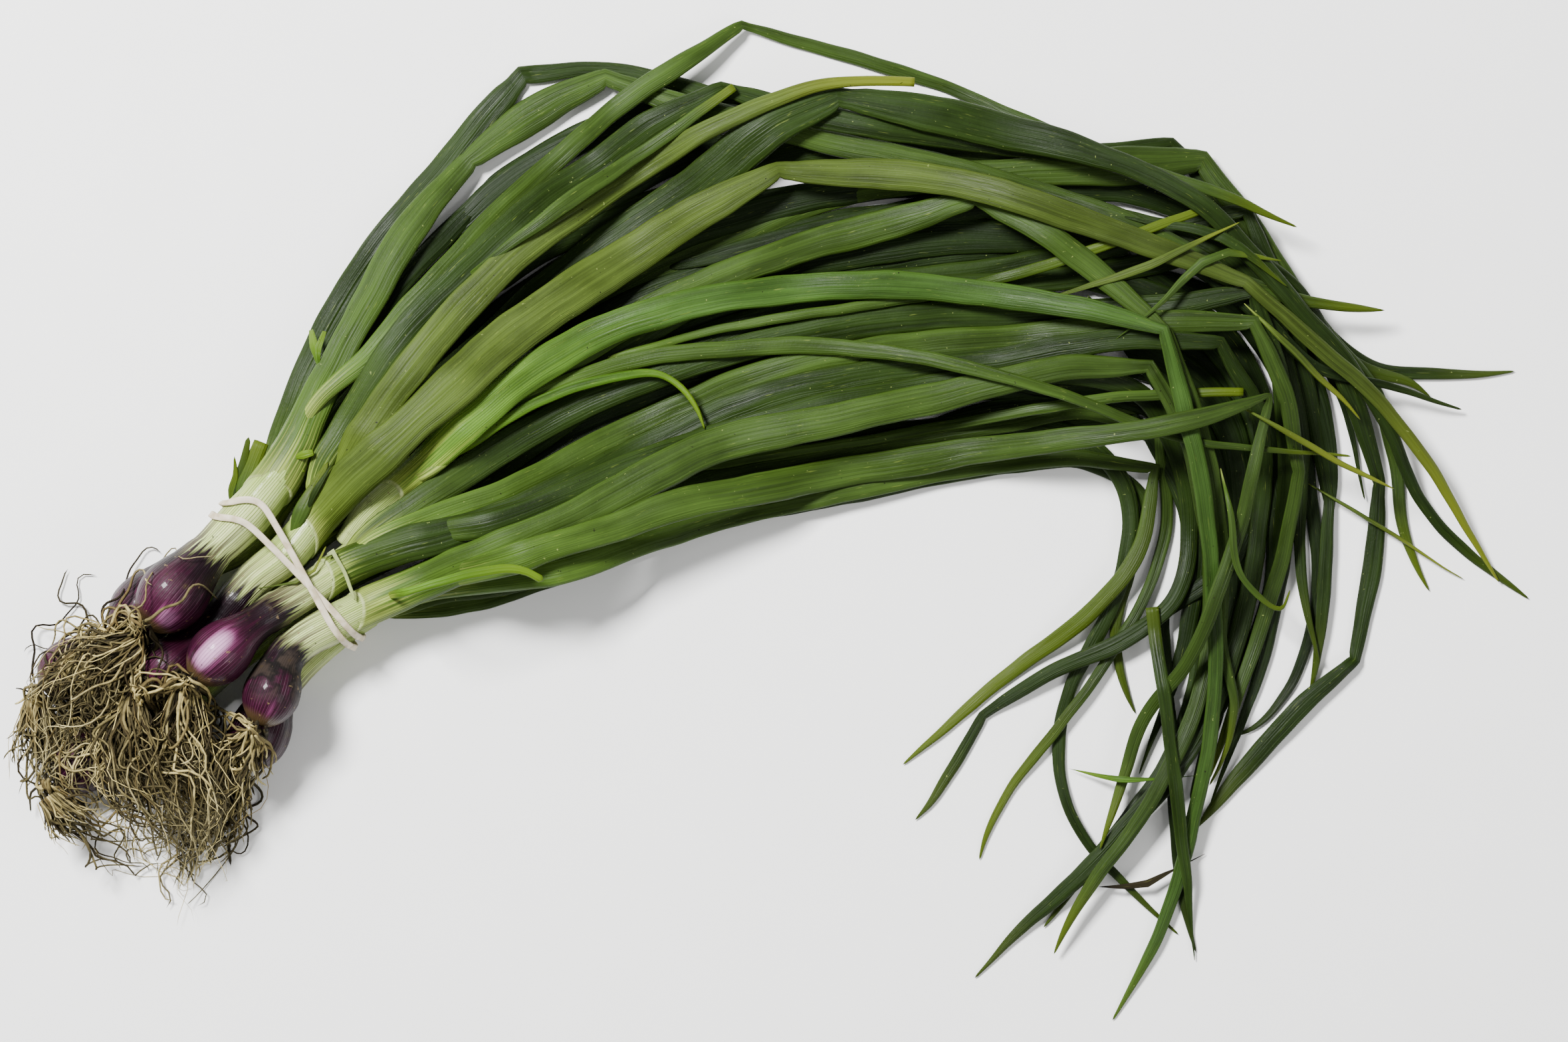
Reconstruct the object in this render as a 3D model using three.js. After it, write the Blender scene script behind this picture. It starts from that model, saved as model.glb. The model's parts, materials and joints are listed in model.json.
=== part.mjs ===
// A bunch of red spring onions lying on its side, held by one elastic band
// wound twice round the shanks. Millimetres, +Z up, z = 0 is the surface the
// bunch lies on. +X runs along the leaves, from the roots towards the tips.
import * as THREE from "three";

// ---------------------------------------------------------------- dimensions
const GAP = 0.35; // air kept between any two pieces
const CELL = 1; // grid of the height map the pieces are laid on
const LEAF_SIDES = 6;
const ONION_SIDES = 12;
const LEAF_STEP = 24; // usual distance between two leaf sections
const CREASE = 3.5; // distance from a crease to the sections next to it
// How fast a piece drops off what it lies on, and off the end it is held by,
// per mm: roots are far limper than leaves.
const LEAF_DROOP = { sag: 0.006, hang: 0.0016 };
const ROOT_DROOP = { sag: 0.03, hang: 0.03 };
const BAND = { width: 2.3, thickness: 1.1, clearance: 0.75, stations: 120 };
// Colour and roughness of each kind of piece.
const LOOKS = {
  bulb: ["#6b2a58", 0.4],
  stalk: ["#cdd8ae", 0.45],
  leaf: ["#3f6330", 0.5],
  young: ["#79963f", 0.5],
  roots: ["#a3946c", 0.85],
  elastic: ["#e0d6c4", 0.6],
};
const UP = new THREE.Vector3(0, 0, 1);
const K = 1; // marks a sharp crease in a leaf

// -------------------------------------------------------------------- onions
// Waypoints run root plate, bulb, neck, band, end of the shank: x, y, z, radius.
const ONIONS = {
  e: [[-177, -81, 11, 3], [-172, -71, 11.5, 10.5], [-164, -54, 8.6, 6], [-148, -38, 8.3, 6], [-136, -30, 6.8, 5.4]],
  g: [[-239, -87, 10, 3], [-230, -80, 10.5, 10], [-208, -68, 7.5, 6], [-182, -46, 8.3, 6], [-154, -24, 8.3, 6], [-142, -15, 7, 5.4]],
  f: [[-243, -55, 11, 3], [-234, -49, 11.2, 10.5], [-213, -52, 7.5, 5.5], [-190, -34, 8, 5.8], [-163, -13, 8.3, 6], [-152, 0, 7, 5.4]],
  h: [[-219, -37, 11.5, 3], [-210.5, -29.5, 12, 11.3], [-199, -18, 8.5, 6.2], [-173.5, -4, 8.3, 6], [-165, 12, 7, 5.4]],
  b: [[-208, -55, 24, 3], [-200, -47, 24, 9], [-186, -34.5, 20.8, 5.8], [-174, -20.5, 20.8, 6.2], [-160, -9, 21, 6.8], [-149, 6, 18.5, 6]],
  a: [[-206, -33.5, 32, 3], [-197.5, -23.5, 32, 11.5], [-187, -11, 28, 7], [-174.5, 2, 23, 8], [-160, 20, 20, 6.8]],
  c: [[-190, -51, 34, 3], [-181.5, -42.5, 34, 10], [-169, -32, 28, 6], [-151, -20.5, 21.5, 6], [-140, -12, 19, 5.6]],
  d: [[-170, -66, 28, 3], [-165.5, -56, 28, 9.5], [-160.5, -43, 24, 6.2], [-145, -33, 21.3, 6.3], [-129, -25, 18, 5.6]],
};
// The pale inner stalk of onion b, which carries four of its leaves.
const INNER_STALK = [[-143, -7, 15.5, 3.6], [-136, 2, 16, 5], [-126, 11, 15, 5.2], [-119, 16.5, 14, 4.6]];

// -------------------------------------------------------------------- leaves
// Each row is a leaf, from the lowest in the pile to the highest: the onion it
// grows from, then its route as x, y, width, with K where it is creased.
const UNDER_LEAVES = [
  ["e", [-134, -28.5, 8], [-118, -28, 9], [-98, -24, 9], [-75, -17.5, 8], [-55, -11, 7], [-38, -4.5, 6], [-15, 1, 5], [20, 8, 5], [60, 16, 5], [92, 20, 5], [112, 19, 4.5], [122, 11, 4.5], [123, -1, 4], [119.5, -14, 3.8], [116, -27, 3.5], [114.5, -42, 3.2], [116.5, -53, 2.8], [120.5, -63, 0.7]],
  ["h", [-164, 17, 4], [-150, 34, 4.5], [-135, 54, 5], [-115, 73, 5], [-92, 92, 5], [-70, 107, 4.5], [-52, 118, 4.5], [-36, 129.5, 4.2], [-22, 139, 4], [-14, 144.5, 3.2]],
  ["h", [-168, 18, 6], [-161, 40, 8], [-151, 62, 9], [-141, 80, 9.5], [-129, 97, 9.5], [-115, 112, 10], [-103, 127, 10], [-92, 142, 9.5], [-84, 149.8, 6, K], [-72, 151.3, 5], [-58, 152, 4.5], [-42, 149.3, 5], [-24, 143.5, 5.5], [0, 138, 6], [28, 133, 6], [58, 127.8, 6], [88, 124, 6], [115, 117, 6], [138, 104, 6], [158, 88, 6], [176, 71, 6], [188, 58.5, 5.5], [198, 53, 4.5], [214, 50.3, 4], [232, 49.3, 3], [247, 50.5, 0.7]],
  ["h", [-162, 15, 7], [-148, 32, 8], [-128, 54, 9], [-105, 73, 9], [-82, 90, 9], [-58, 100, 9], [-36, 108, 9], [-16, 117, 9.5], [2, 124, 9.5], [20, 126.3, 9.5], [42, 125, 9], [70, 123, 8.5], [95, 122.5, 7.5], [118, 124.2, 6], [132, 127, 3.5, K], [141, 120, 5.5], [152, 106, 6.5], [163, 90, 7], [174, 73, 7], [184, 60, 6], [195, 52.5, 4.5], [206, 48.3, 3.2], [216, 45, 1.8], [219, 42.5, 0.7]],
  ["f", [-149, 3, 7], [-125, 20, 9], [-100, 37, 10], [-75, 51, 10], [-50, 63, 10], [-25, 73, 11], [0, 80, 11], [25, 86, 11.5], [50, 91, 12], [72, 94, 12], [84, 90.5, 6, K], [100, 84.5, 6], [122, 82, 6], [142, 78, 6], [158, 67, 6], [169, 50, 5.5], [176, 30, 5], [180, 8, 4.5], [182, -12, 4], [181, -31.6, 3.5], [174, -51, 3], [165.7, -66.5, 2.4], [153.8, -71.7, 0.7]],
  ["h", [-160, 13, 7], [-142, 28, 8.5], [-118, 46, 9], [-90, 61, 9], [-62, 74, 9], [-38, 86, 9.5], [-18, 94.5, 9.5], [2, 103.5, 9], [20, 110, 9], [44, 114, 8.5], [68, 116, 8], [92, 117.5, 9], [120, 119, 12], [136, 121.5, 11], [144, 120, 6, K], [151, 110, 7], [160, 97, 7], [170, 82, 6.5], [182, 64, 6], [196, 50, 5], [204.5, 36, 4.4], [208, 20, 4.2], [210, 3, 3.6], [213, -10, 3], [219, -22, 0.7]],
  ["g", [-138, -11, 7], [-112, 12, 8], [-85, 36, 8], [-50, 58, 8], [-10, 74, 8], [30, 80, 7.5], [70, 84, 7], [105, 91, 7], [135, 99, 6.5], [157, 104, 4, K], [164, 90, 5.5], [170, 72, 5.5], [175, 55, 5.5], [180, 38, 5], [183.5, 20, 4.6], [185.5, 7, 3.4, K], [184.5, -9, 4.4], [184, -25, 4], [182.5, -41, 3.2], [179.5, -58, 0.7]],
  ["g", [-139, -14, 7], [-114, 4, 8], [-88, 22, 9], [-60, 42, 9], [-30, 58, 9], [5, 70, 8.5], [45, 77, 8], [85, 80, 7.5], [125, 86, 7], [152, 90, 6.5], [172, 78, 6], [185, 58, 6], [196, 34, 6], [203, 13, 4, K], [201.5, -2, 6], [200, -16, 5.8], [198, -32, 5.6], [194, -47, 3.6, K], [183, -55, 6], [171, -67, 6], [160, -80, 5.6], [150, -92, 4.6], [142, -102, 0.7]],
  ["e", [-133, -29, 7], [-110, -23, 8], [-90, -19.5, 9], [-65, -12, 9], [-40, -4, 7.5], [-10, 6, 6.5], [20, 14, 6], [50, 22, 6], [80, 29, 6], [108, 33, 6], [128, 30, 5.6], [138, 18, 5.4], [142, 3, 5.4], [143.5, -14, 5.4], [143.5, -36, 5.2], [140, -60, 5], [133, -78, 4.8], [124, -92, 4.6], [113, -105, 4.2], [101, -122, 3.2], [91, -135, 0.7]],
  ["g", [-137, -13, 7], [-110, -2, 8], [-80, 14, 8], [-45, 33, 8], [-10, 48, 8], [30, 60, 8], [70, 66, 7.5], [105, 68, 7], [132, 62, 6.5], [150, 50, 6], [160, 34, 6], [162, 16, 6], [158, 0, 6], [152, -14, 6], [143, -24, 6], [131, -28.5, 3.4, K], [129.3, -42, 5], [131, -57, 4.6], [133, -72, 4.3], [134, -88, 4.1], [134.5, -103, 3.9], [135.5, -117, 3.4], [137.5, -130, 2.8], [141, -143, 0.7]],
  ["f", [-147, 2, 7], [-122, 14, 8], [-96, 30, 9], [-66, 50, 9], [-36, 68, 9], [-6, 85, 9], [25, 97, 9], [55, 104, 8.5], [88, 104, 8], [120, 99, 7.5], [145, 92, 7], [160, 78, 6], [169, 58, 5.6], [174, 38, 5], [177, 18, 4.4], [176, 0, 3.8], [176, -16, 3.2], [178.5, -32, 2.4], [182, -46, 0.7]],
];
const OVER_LEAVES = [
  ["a", [-157, 24, 5], [-146, 46, 6], [-133, 68, 6], [-118, 87, 6], [-106, 100, 6], [-97, 111, 6], [-90, 117.3, 4, K], [-80, 121.5, 5], [-66, 131, 5], [-45, 138, 5], [-20, 138, 5], [15, 130, 5], [55, 120, 5], [95, 107, 5], [128, 92, 5], [152, 76, 4.5], [172, 59, 4], [185, 48.5, 3], [195, 46, 2.4], [206, 45.3, 2.2], [215, 42, 2], [229, 38, 0.7]],
  ["a", [-156, 26, 8], [-149.5, 44, 9], [-142, 60, 9.5], [-132, 79, 10], [-121, 98, 10], [-111, 112, 9], [-102, 121, 5.4, K], [-92, 130, 10], [-80, 137, 11], [-68, 143.5, 10], [-56, 149, 5, K], [-46, 144.5, 7], [-30, 139, 7], [0, 131, 7], [40, 122, 7], [80, 112, 7], [115, 100, 6.5], [142, 87, 6], [160, 77, 5], [178, 73, 3.6], [192, 71.3, 3], [202, 70.6, 0.7]],
  ["c", [-135, -6, 8], [-112, 10, 9], [-95, 22, 9.5], [-80, 31, 9.5], [-64, 39, 9], [-48, 46, 8], [-30, 52, 8], [-10, 58, 8], [10, 63, 9], [30, 66, 9.5], [50, 68.5, 9.5], [75, 69.5, 9], [100, 69.5, 9], [125, 71, 8], [145, 74, 7], [158, 76, 4, K], [164, 63, 5.5], [168, 46, 5.5], [170, 28, 5.5], [171, 10, 5.4], [169, -10, 5.2], [165, -28, 5], [158, -46, 4.6], [149, -62, 4.2], [140, -76, 3.8], [131, -88, 3], [122, -99, 0.7]],
  ["c", [-133, -8, 8], [-112, 1, 8.5], [-95, 7, 9], [-78, 14.5, 9.5], [-60, 24, 10], [-40, 34, 10], [-20, 43, 9], [0, 50, 8.5], [20, 55.5, 8], [45, 58.5, 8], [70, 61, 8], [95, 63, 8], [118, 65, 8], [140, 67, 7], [158, 66, 4, K], [166, 52, 5.5], [171, 34, 5.4], [174.5, 16, 3.6, K], [171, 1, 5], [169, -14, 4.8], [165, -30, 4.6], [158, -48, 4.4], [152, -66, 3.4], [146, -85, 0.7]],
  ["d", [-124, -20, 6], [-100, -12, 7], [-70, 0, 7], [-35, 16, 7], [0, 24, 6.5], [40, 30, 6.5], [80, 33, 6], [104, 27, 5.6], [117, 12, 5.4], [119, -6, 5.2], [115, -22, 5], [108, -38, 4.6], [101, -52, 4.3], [96.5, -64, 4], [95, -77, 3.8], [96, -88, 3.6], [100, -99, 3.3], [106, -109, 3], [113, -117, 2.6], [121, -125, 2.2], [134.5, -137.5, 0.7]],
  ["c", [-50, 56, 2], [-10, 66, 3], [30, 72, 3.2], [60, 77.5, 3.2], [75, 81, 3.4], [90, 85, 3.4], [105, 90.5, 3.2], [120, 95.5, 3], [133, 100, 2.8], [146, 105.5, 2.4]],
  ["a", [-151, 40, 4.5], [-136, 53, 7], [-123, 68, 7.5], [-109, 84, 7.5], [-95, 99.5, 7], [-80, 115, 6.6], [-64, 129, 6.4], [-48, 141.5, 6.2], [-32, 152.5, 6], [-19, 161, 5], [-11, 166, 2.8, K], [2, 163.5, 3.2], [16, 159, 4], [32, 154, 4.6], [46, 150, 4.2], [57, 146.5, 3.4], [72, 139.5, 4.2], [88, 131.5, 4.6], [104, 124.5, 4.4], [120, 118, 4], [136, 112.5, 3.6], [150, 108, 3.2], [161, 103, 2.4], [172.5, 98.5, 0.7]],
  ["b", [-152, 13, 6], [-141, 34, 8], [-131, 50, 8.5], [-120, 65, 9], [-106, 79, 9.5], [-92, 93, 10], [-77, 106.5, 10], [-61, 118, 9.5], [-46, 129, 9], [-32, 138, 8], [-17, 144, 4.4, K], [0, 139, 7], [20, 134, 7.5], [40, 130.5, 7], [60, 127.5, 6.5], [80, 125, 5.6], [100, 121, 4], [122, 114, 0.7]],
  ["b", [-143, 12, 8], [-130, 27, 10], [-114, 42, 11], [-97, 57, 12], [-80, 73, 13], [-62, 87, 13], [-42, 101, 13], [-22, 115, 13], [-5, 128, 13], [8, 138, 12], [22, 141, 6.5, K], [36, 139.5, 9], [50, 136, 11], [65, 132.5, 11.5], [80, 129, 11], [95, 125.5, 9], [110, 121, 7], [125, 114, 6], [140, 106, 6], [154, 93, 6], [168, 77, 5.5], [183, 60, 5], [198, 44, 4.5], [205, 30, 4], [210, 17, 4], [217, 6, 3.6], [225, -4, 3.2], [235, -12, 3], [244, -19, 2.4], [252, -25, 0.7]],
  ["e", [-131, -26, 7], [-108, -19, 8], [-82, -9, 8], [-52, 2, 7.5], [-20, 15, 6], [0, 19, 6], [20, 23, 5.5], [40, 27, 5], [60, 30, 5], [80, 33, 4.5], [100, 36, 4.5], [119, 37, 4.2], [128.5, 28, 3, K], [131, 12, 4], [131, -3, 3.8], [127.5, -15, 3.6], [123.5, -26, 3.5], [116, -40, 3.4], [107.5, -51.5, 3.3], [95, -68.5, 3.2], [81, -87, 2.9], [72, -102, 2.2], [69, -112, 0.7]],
  ["c", [-134, -11, 9], [-112, -5, 10], [-95, 0, 10], [-78, 6, 10.5], [-60, 15, 11], [-40, 25, 11], [-20, 34.5, 10], [0, 42, 9.5], [20, 47, 9], [40, 50, 8], [60, 52, 8], [80, 55, 8], [100, 58.5, 7], [120, 60.5, 6.5], [137, 60.5, 6], [147, 59, 3.8, K], [153, 51, 5.4], [159, 40, 5.5], [163, 24, 5.5], [163, 6, 5.6], [160, -15, 5.6], [155, -38, 5.8], [148, -58, 6], [139, -75, 6], [128, -90, 6], [115, -105, 5.8], [100, -120.5, 5.2], [86, -133, 4], [68, -152, 0.7]],
  ["c", [-132, -13, 7], [-105, -5, 8], [-72, 8, 8], [-38, 22, 8], [0, 34, 8], [40, 43, 7.5], [80, 48, 7], [110, 48, 6.5], [127, 38, 6], [135, 20, 5.6], [138.5, 2, 5.4], [138.5, -14, 5.2], [132, -28.5, 5.2], [122, -36.5, 5.4], [110, -42.3, 5.2], [96, -48.5, 4.8], [82, -56.5, 4.4], [70, -65, 3, K], [64, -74, 3.8], [58.5, -84, 3.4], [54, -92, 2.8], [48, -99, 0.7]],
  ["d", [-20, 19, 2.4], [5, 23.5, 3], [30, 27.5, 3], [60, 32.5, 3.2], [75, 35.5, 3.2], [90, 38.2, 3.4], [105, 40.2, 3.4], [120, 41.8, 3.2], [140, 43, 3], [155, 43, 2.6]],
  ["d", [-124, -21, 10], [-98, -11, 11], [-80, -4.5, 10.5], [-62, 3.5, 10.5], [-45, 13, 11], [-30, 21, 11.5], [-17, 26, 11], [0, 30, 10.5], [20, 34, 10], [40, 38, 9.5], [60, 43, 9], [80, 47.5, 8], [100, 51.5, 7.5], [114, 53, 6.5], [124, 50.5, 4.2, K], [131.5, 40, 5], [138, 24, 5], [142.5, 4, 5], [146, -20, 5], [144, -48, 5], [135, -75, 5], [122, -98, 4.5], [108, -118, 4], [99, -132, 3], [94, -143.5, 0.7]],
  ["k", [-116, 19, 6], [-98, 34, 7], [-80, 47, 8], [-60, 60, 9], [-40, 71, 9], [-20, 80.5, 9], [0, 88.5, 9], [20, 94.5, 9], [40, 100, 9.5], [55, 104.5, 9.5], [67, 108, 5.4, K], [77, 102.5, 8], [88, 97, 8], [98, 90, 7.5], [108, 81.5, 7], [118, 72.5, 6], [129, 63.5, 3.2, K], [135, 53, 3.6], [138.5, 40, 3.8], [142, 26, 4], [146, 12, 4], [148.5, -2, 3.8], [149.5, -20, 3.8], [149, -38, 3.6], [151, -55, 3], [154, -69, 2.2], [146, -87, 0.7]],
  ["k", [-116, 16, 4], [-104, 27.5, 4.2], [-92, 35.5, 4.4], [-78, 43, 4.6], [-62, 49.5, 4.8], [-45, 54, 5], [-20, 57.4, 5.2], [0, 58.4, 5.2], [20, 58.2, 5], [36, 57, 4.8], [52, 53.5, 4.4], [68, 49.8, 4], [84, 46, 3.6], [100, 40.5, 3.4], [116, 34, 3], [134, 28.5, 2.6], [152, 23.5, 2], [170, 23.8, 1.6], [190, 22, 0.7]],
  ["k", [-115, 13.5, 3], [-103, 24, 3], [-91, 32.5, 3], [-78, 40, 3.2], [-64, 45.5, 3.2], [-50, 48.5, 3], [-38, 48.8, 2.4], [-31, 46, 2], [-27.5, 42, 1.7], [-25, 36, 1.3], [-23.5, 32, 0.7]],
  ["k", [-115.5, 18, 8.5], [-103, 30.5, 10], [-90, 42, 10.5], [-75, 53.5, 10.5], [-60, 62, 10], [-40, 69, 9.5], [-20, 74, 9], [0, 77, 8.8], [25, 78.7, 8.6], [50, 78, 8.2], [70, 76, 7.8], [90, 72.8, 7], [110, 68.5, 6.4], [128, 63.5, 3.6, K], [132.5, 50, 5.4], [136.5, 32, 5.4], [140.5, 14, 5.2], [143.5, -4, 5], [146, -25, 4.8], [147, -45, 4.6], [145.5, -65, 4.5], [143, -85, 4.5], [139.5, -102, 4.4], [135, -120, 4.2], [129, -136, 3.8], [122.5, -151, 2.8], [114, -166, 0.7]],
  ["e", [-130, -28, 8], [-112, -26, 9], [-90, -21, 9], [-70, -16, 8.5], [-50, -9, 8], [-30, -2, 7.5], [-5, 4.5, 7], [20, 9.5, 6.5], [45, 14.5, 6], [65, 18.5, 6], [85, 20.5, 5.5], [105, 21.3, 5], [118, 21, 4.6], [126.5, 17, 3, K], [125.8, 5, 5], [123.5, -5, 5], [119, -14.5, 5], [110, -25, 5.2], [100, -35.5, 5.2], [88, -44, 4.8], [75, -53, 4.2], [62, -65, 3.2], [52, -73.5, 2.2], [44, -80.5, 0.7]],
  ["d", [-122, -23, 8], [-100, -17.5, 9], [-80, -10.5, 8.5], [-60, -4, 8.5], [-42, 2, 9], [-25, 7.5, 9.5], [0, 12, 9.5], [20, 16, 9], [40, 19.5, 9], [60, 22.5, 8.5], [80, 25.5, 7.5], [100, 28, 6.5], [120, 30, 6], [140, 34.5, 6], [152, 38, 5], [163, 41.5, 2.6, K], [161.5, 32, 3.5], [159, 20, 4], [156, 8, 4.2], [153, -4, 4.5], [149, -18, 4.5], [143, -33, 4.5], [136, -48, 4.3], [127, -60, 4], [120, -72, 4], [117, -84, 3.6], [113, -96, 2.8], [109, -108, 0.7]],
  ["d", [-117, -22, 2.6], [-104, -18, 3], [-97, -16.3, 3], [-90, -15, 3], [-84, -15, 2.7], [-76.5, -18.5, 2.4]],
  ["b", [-146, 11.5, 8], [-138, 25, 9.5], [-128, 40, 10.5], [-116, 55, 10.5], [-103, 71, 10], [-88, 86, 9.8], [-73, 98, 9.2], [-57, 109.5, 8.2], [-40, 120, 7], [-22, 130.5, 6], [-5, 138, 5], [12, 144, 3.8], [28, 146.6, 3.2], [46.5, 146.2, 2.8]],
  ["b", [-142, 10, 9], [-130, 22, 12], [-115, 36.5, 13], [-100, 50, 13.5], [-84, 64, 13.5], [-66, 77, 13], [-48, 89, 12.5], [-30, 100, 11.5], [-14, 109, 9.5], [1, 117, 5.2, K], [11, 117, 8.5], [28, 116, 9], [48, 114.5, 9], [66, 111.5, 9], [84, 106, 8.6], [104, 98.5, 8], [124, 91.5, 7.2], [142, 85, 6.2], [156, 79.5, 3.8, K], [168, 68.5, 5], [182, 56, 4.8], [198, 43, 4.4], [212, 27, 3.8], [224, 9, 3], [234, -6, 2.2], [242, -19, 0.7]],
  ["g", [163, 33, 1.8], [176, 25, 2.4], [184, 21, 2.6], [191, 17.5, 2.3], [198, 14.5, 1.8], [204.5, 11.5, 0.7]],
  ["h", [164, 64, 2], [176, 52, 2.6], [182, 46.5, 2.4], [188, 41.5, 2], [194, 35, 0.7]],
  ["b", [187, 8, 2], [197, 2.5, 2.6], [204, -2, 2.6], [210, -6, 2.4], [216, -10, 2], [222, -14, 1.4], [230, -18.5, 0.7]],
  ["f", [150, 6, 2.2], [153, -9, 2.8], [155.5, -20, 2.8], [160, -27, 2.6], [165, -29.5, 2.2], [169, -27.5, 1.6], [170.5, -23.5, 0.7]],
];

// --------------------------------------------------------------------- roots
// One tuft of roots hangs from each root plate; lowest first: x, y, width.
const ROOTS = [
  ["f", [-246, -59, 6], [-246, -68, 10], [-245, -84, 11], [-240, -98, 9], [-231, -109, 4]],
  ["g", [-241, -91, 7], [-236, -99, 13], [-228, -106, 14], [-217, -112, 11], [-206, -119, 4]],
  ["e", [-178, -85, 7], [-181, -93, 14], [-186, -102, 15], [-191, -112, 11], [-195, -123, 4]],
  ["h", [-224, -44, 7], [-222, -55, 13], [-217, -67, 16], [-213, -80, 14], [-208, -93, 6]],
  ["d", [-172, -70, 7], [-176, -77, 13], [-182, -88, 15], [-187, -100, 12], [-190, -113, 4]],
  ["c", [-193, -54, 7], [-195, -64, 14], [-193, -78, 17], [-190, -93, 14], [-189, -107, 5]],
  ["b", [-212, -57, 7], [-213, -67, 15], [-210, -81, 18], [-203, -95, 15], [-196, -110, 5]],
  ["a", [-208, -39, 7], [-215, -44, 15], [-225, -50, 19], [-234, -60, 17], [-240, -73, 7]],
];

// ---------------------------------------------------------------- the band
// Where each of the two turns crosses the top of the bunch: distance across
// the bunch, distance along it.
const BAND_CENTRE = new THREE.Vector3(-162, -16.5, 0);
const BAND_AXIS = new THREE.Vector3(0.697, 0.717, 0).normalize();
const TURN_ONE = [[-30, 2], [-28, 5], [-26, 9], [-22, 12], [-15, 13], [-7, 12], [0, 10.5], [7, 8.6], [14, 4.6], [20, 0.6], [25, -1.6], [30, -2.6]];
const TURN_TWO = [[-30, -3], [-27, -1.5], [-24, 2], [-19, 5.4], [-13, 6], [-5, 5.6], [3, 5.2], [10, 5], [16, 4.6], [21, 3.4], [26, 2], [30, 1.4]];

// ----------------------------------------------------------------- geometry
// A closed tube of changing section; every station holds its centre, the way
// to its side and up, and its half width and half height.
function loft(stations, sides) {
  const last = stations.length - 1;
  const tube = new THREE.CylinderGeometry(1, 1, 1, sides, last, false, Math.PI / 2);
  const position = tube.getAttribute("position");
  const point = new THREE.Vector3();
  for (let i = 0; i < position.count; i += 1) {
    point.fromBufferAttribute(position, i);
    const station = stations[Math.round((point.y + 0.5) * last)];
    const across = point.x * station.halfWidth;
    const above = point.z * station.halfHeight;
    point.copy(station.centre).addScaledVector(station.side, across).addScaledVector(station.up, above);
    position.setXYZ(i, point.x, point.y, point.z);
  }
  return tube;
}

function piece(name, geometry, [color, roughness]) {
  const mesh = new THREE.Mesh(geometry, new THREE.MeshStandardMaterial({ color, roughness, metalness: 0 }));
  mesh.name = name;
  return mesh;
}

// --------------------------------------------------------------- height maps
class HeightMap {
  constructor() {
    this.left = -290;
    this.bottom = -210;
    this.columns = Math.ceil(590 / CELL);
    this.rows = Math.ceil(430 / CELL);
    this.top = new Float32Array(this.columns * this.rows);
  }

  cell(x, y) {
    const column = Math.round((x - this.left) / CELL);
    const row = Math.round((y - this.bottom) / CELL);
    return row * this.columns + column;
  }

  raise(x, y, height) {
    const at = this.cell(x, y);
    this.top[at] = Math.max(this.top[at], height);
  }

  read(x, y) {
    const at = this.cell(x, y);
    return Math.max(this.top[at], this.top[at - 1], this.top[at + 1], this.top[at - this.columns], this.top[at + this.columns]);
  }
}

const onionMaps = {};
const laid = new HeightMap();

// ------------------------------------------------------------------- onions
// The bulb swells over its own radius, narrows to the neck, then runs on as
// the shank.
function onionStations(waypoints) {
  const curve = new THREE.CatmullRomCurve3(waypoints.map(([x, y, z]) => new THREE.Vector3(x, y, z)), false, "centripetal");
  const bulb = waypoints[1][3];
  const length = curve.getLength();
  const places = [0, 0.22, 0.6, 1.1, 1.6, 2.1, 2.7, 3.4].map((k) => k * bulb);
  for (let s = places.at(-1) + 11; s < length - 6; s += 11) places.push(s);
  places.push(length);
  const lengths = [0];
  for (let i = 1; i < waypoints.length; i += 1) {
    const a = waypoints[i - 1];
    const b = waypoints[i];
    lengths.push(lengths[i - 1] + Math.hypot(b[0] - a[0], b[1] - a[1], b[2] - a[2]));
  }
  const shankRadius = (s) => {
    const scaled = (s / length) * lengths.at(-1);
    let i = 2;
    while (i < waypoints.length - 1 && lengths[i] < scaled) i += 1;
    const t = THREE.MathUtils.clamp((scaled - lengths[i - 1]) / (lengths[i] - lengths[i - 1]), 0, 1);
    const from = i === 2 ? waypoints[2][3] : waypoints[i - 1][3];
    return THREE.MathUtils.lerp(from, waypoints[i][3], t);
  };
  const swell = [[0, 0.42], [0.22, 0.66], [0.6, 0.9], [1.1, 1], [1.6, 0.93], [2.1, 0.74], [2.7, 0.6], [3.4, 0]];
  return places.map((s) => {
    const t = Math.min(1, s / length);
    const centre = curve.getPointAt(t);
    const tangent = curve.getTangentAt(t);
    const side = new THREE.Vector3().crossVectors(tangent, UP).normalize();
    const up = new THREE.Vector3().crossVectors(side, tangent).normalize();
    const row = swell.find(([k]) => Math.abs(k * bulb - s) < 1e-6);
    const radius = row ? Math.max(row[1] * bulb, s > 1.6 * bulb ? shankRadius(s) : 0) : shankRadius(s);
    return { centre, side, up, halfWidth: radius, halfHeight: radius };
  });
}

function raiseRound(map, stations) {
  for (let i = 1; i < stations.length; i += 1) {
    const a = stations[i - 1];
    const b = stations[i];
    const steps = Math.ceil(a.centre.distanceTo(b.centre) / 0.6);
    for (let j = 0; j <= steps; j += 1) {
      const t = j / steps;
      const centre = a.centre.clone().lerp(b.centre, t);
      const side = a.side.clone().lerp(b.side, t);
      const radius = THREE.MathUtils.lerp(a.halfWidth, b.halfWidth, t);
      for (let u = -1; u <= 1.0001; u += 0.06) {
        const height = centre.z + radius * Math.sqrt(Math.max(0, 1 - u * u));
        map.raise(centre.x + side.x * u * radius, centre.y + side.y * u * radius, height);
      }
    }
  }
}

// ------------------------------------------------------ pieces laid on others
const thicknessOf = (width) => Math.min(width, 1.1 + 0.27 * width);

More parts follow.
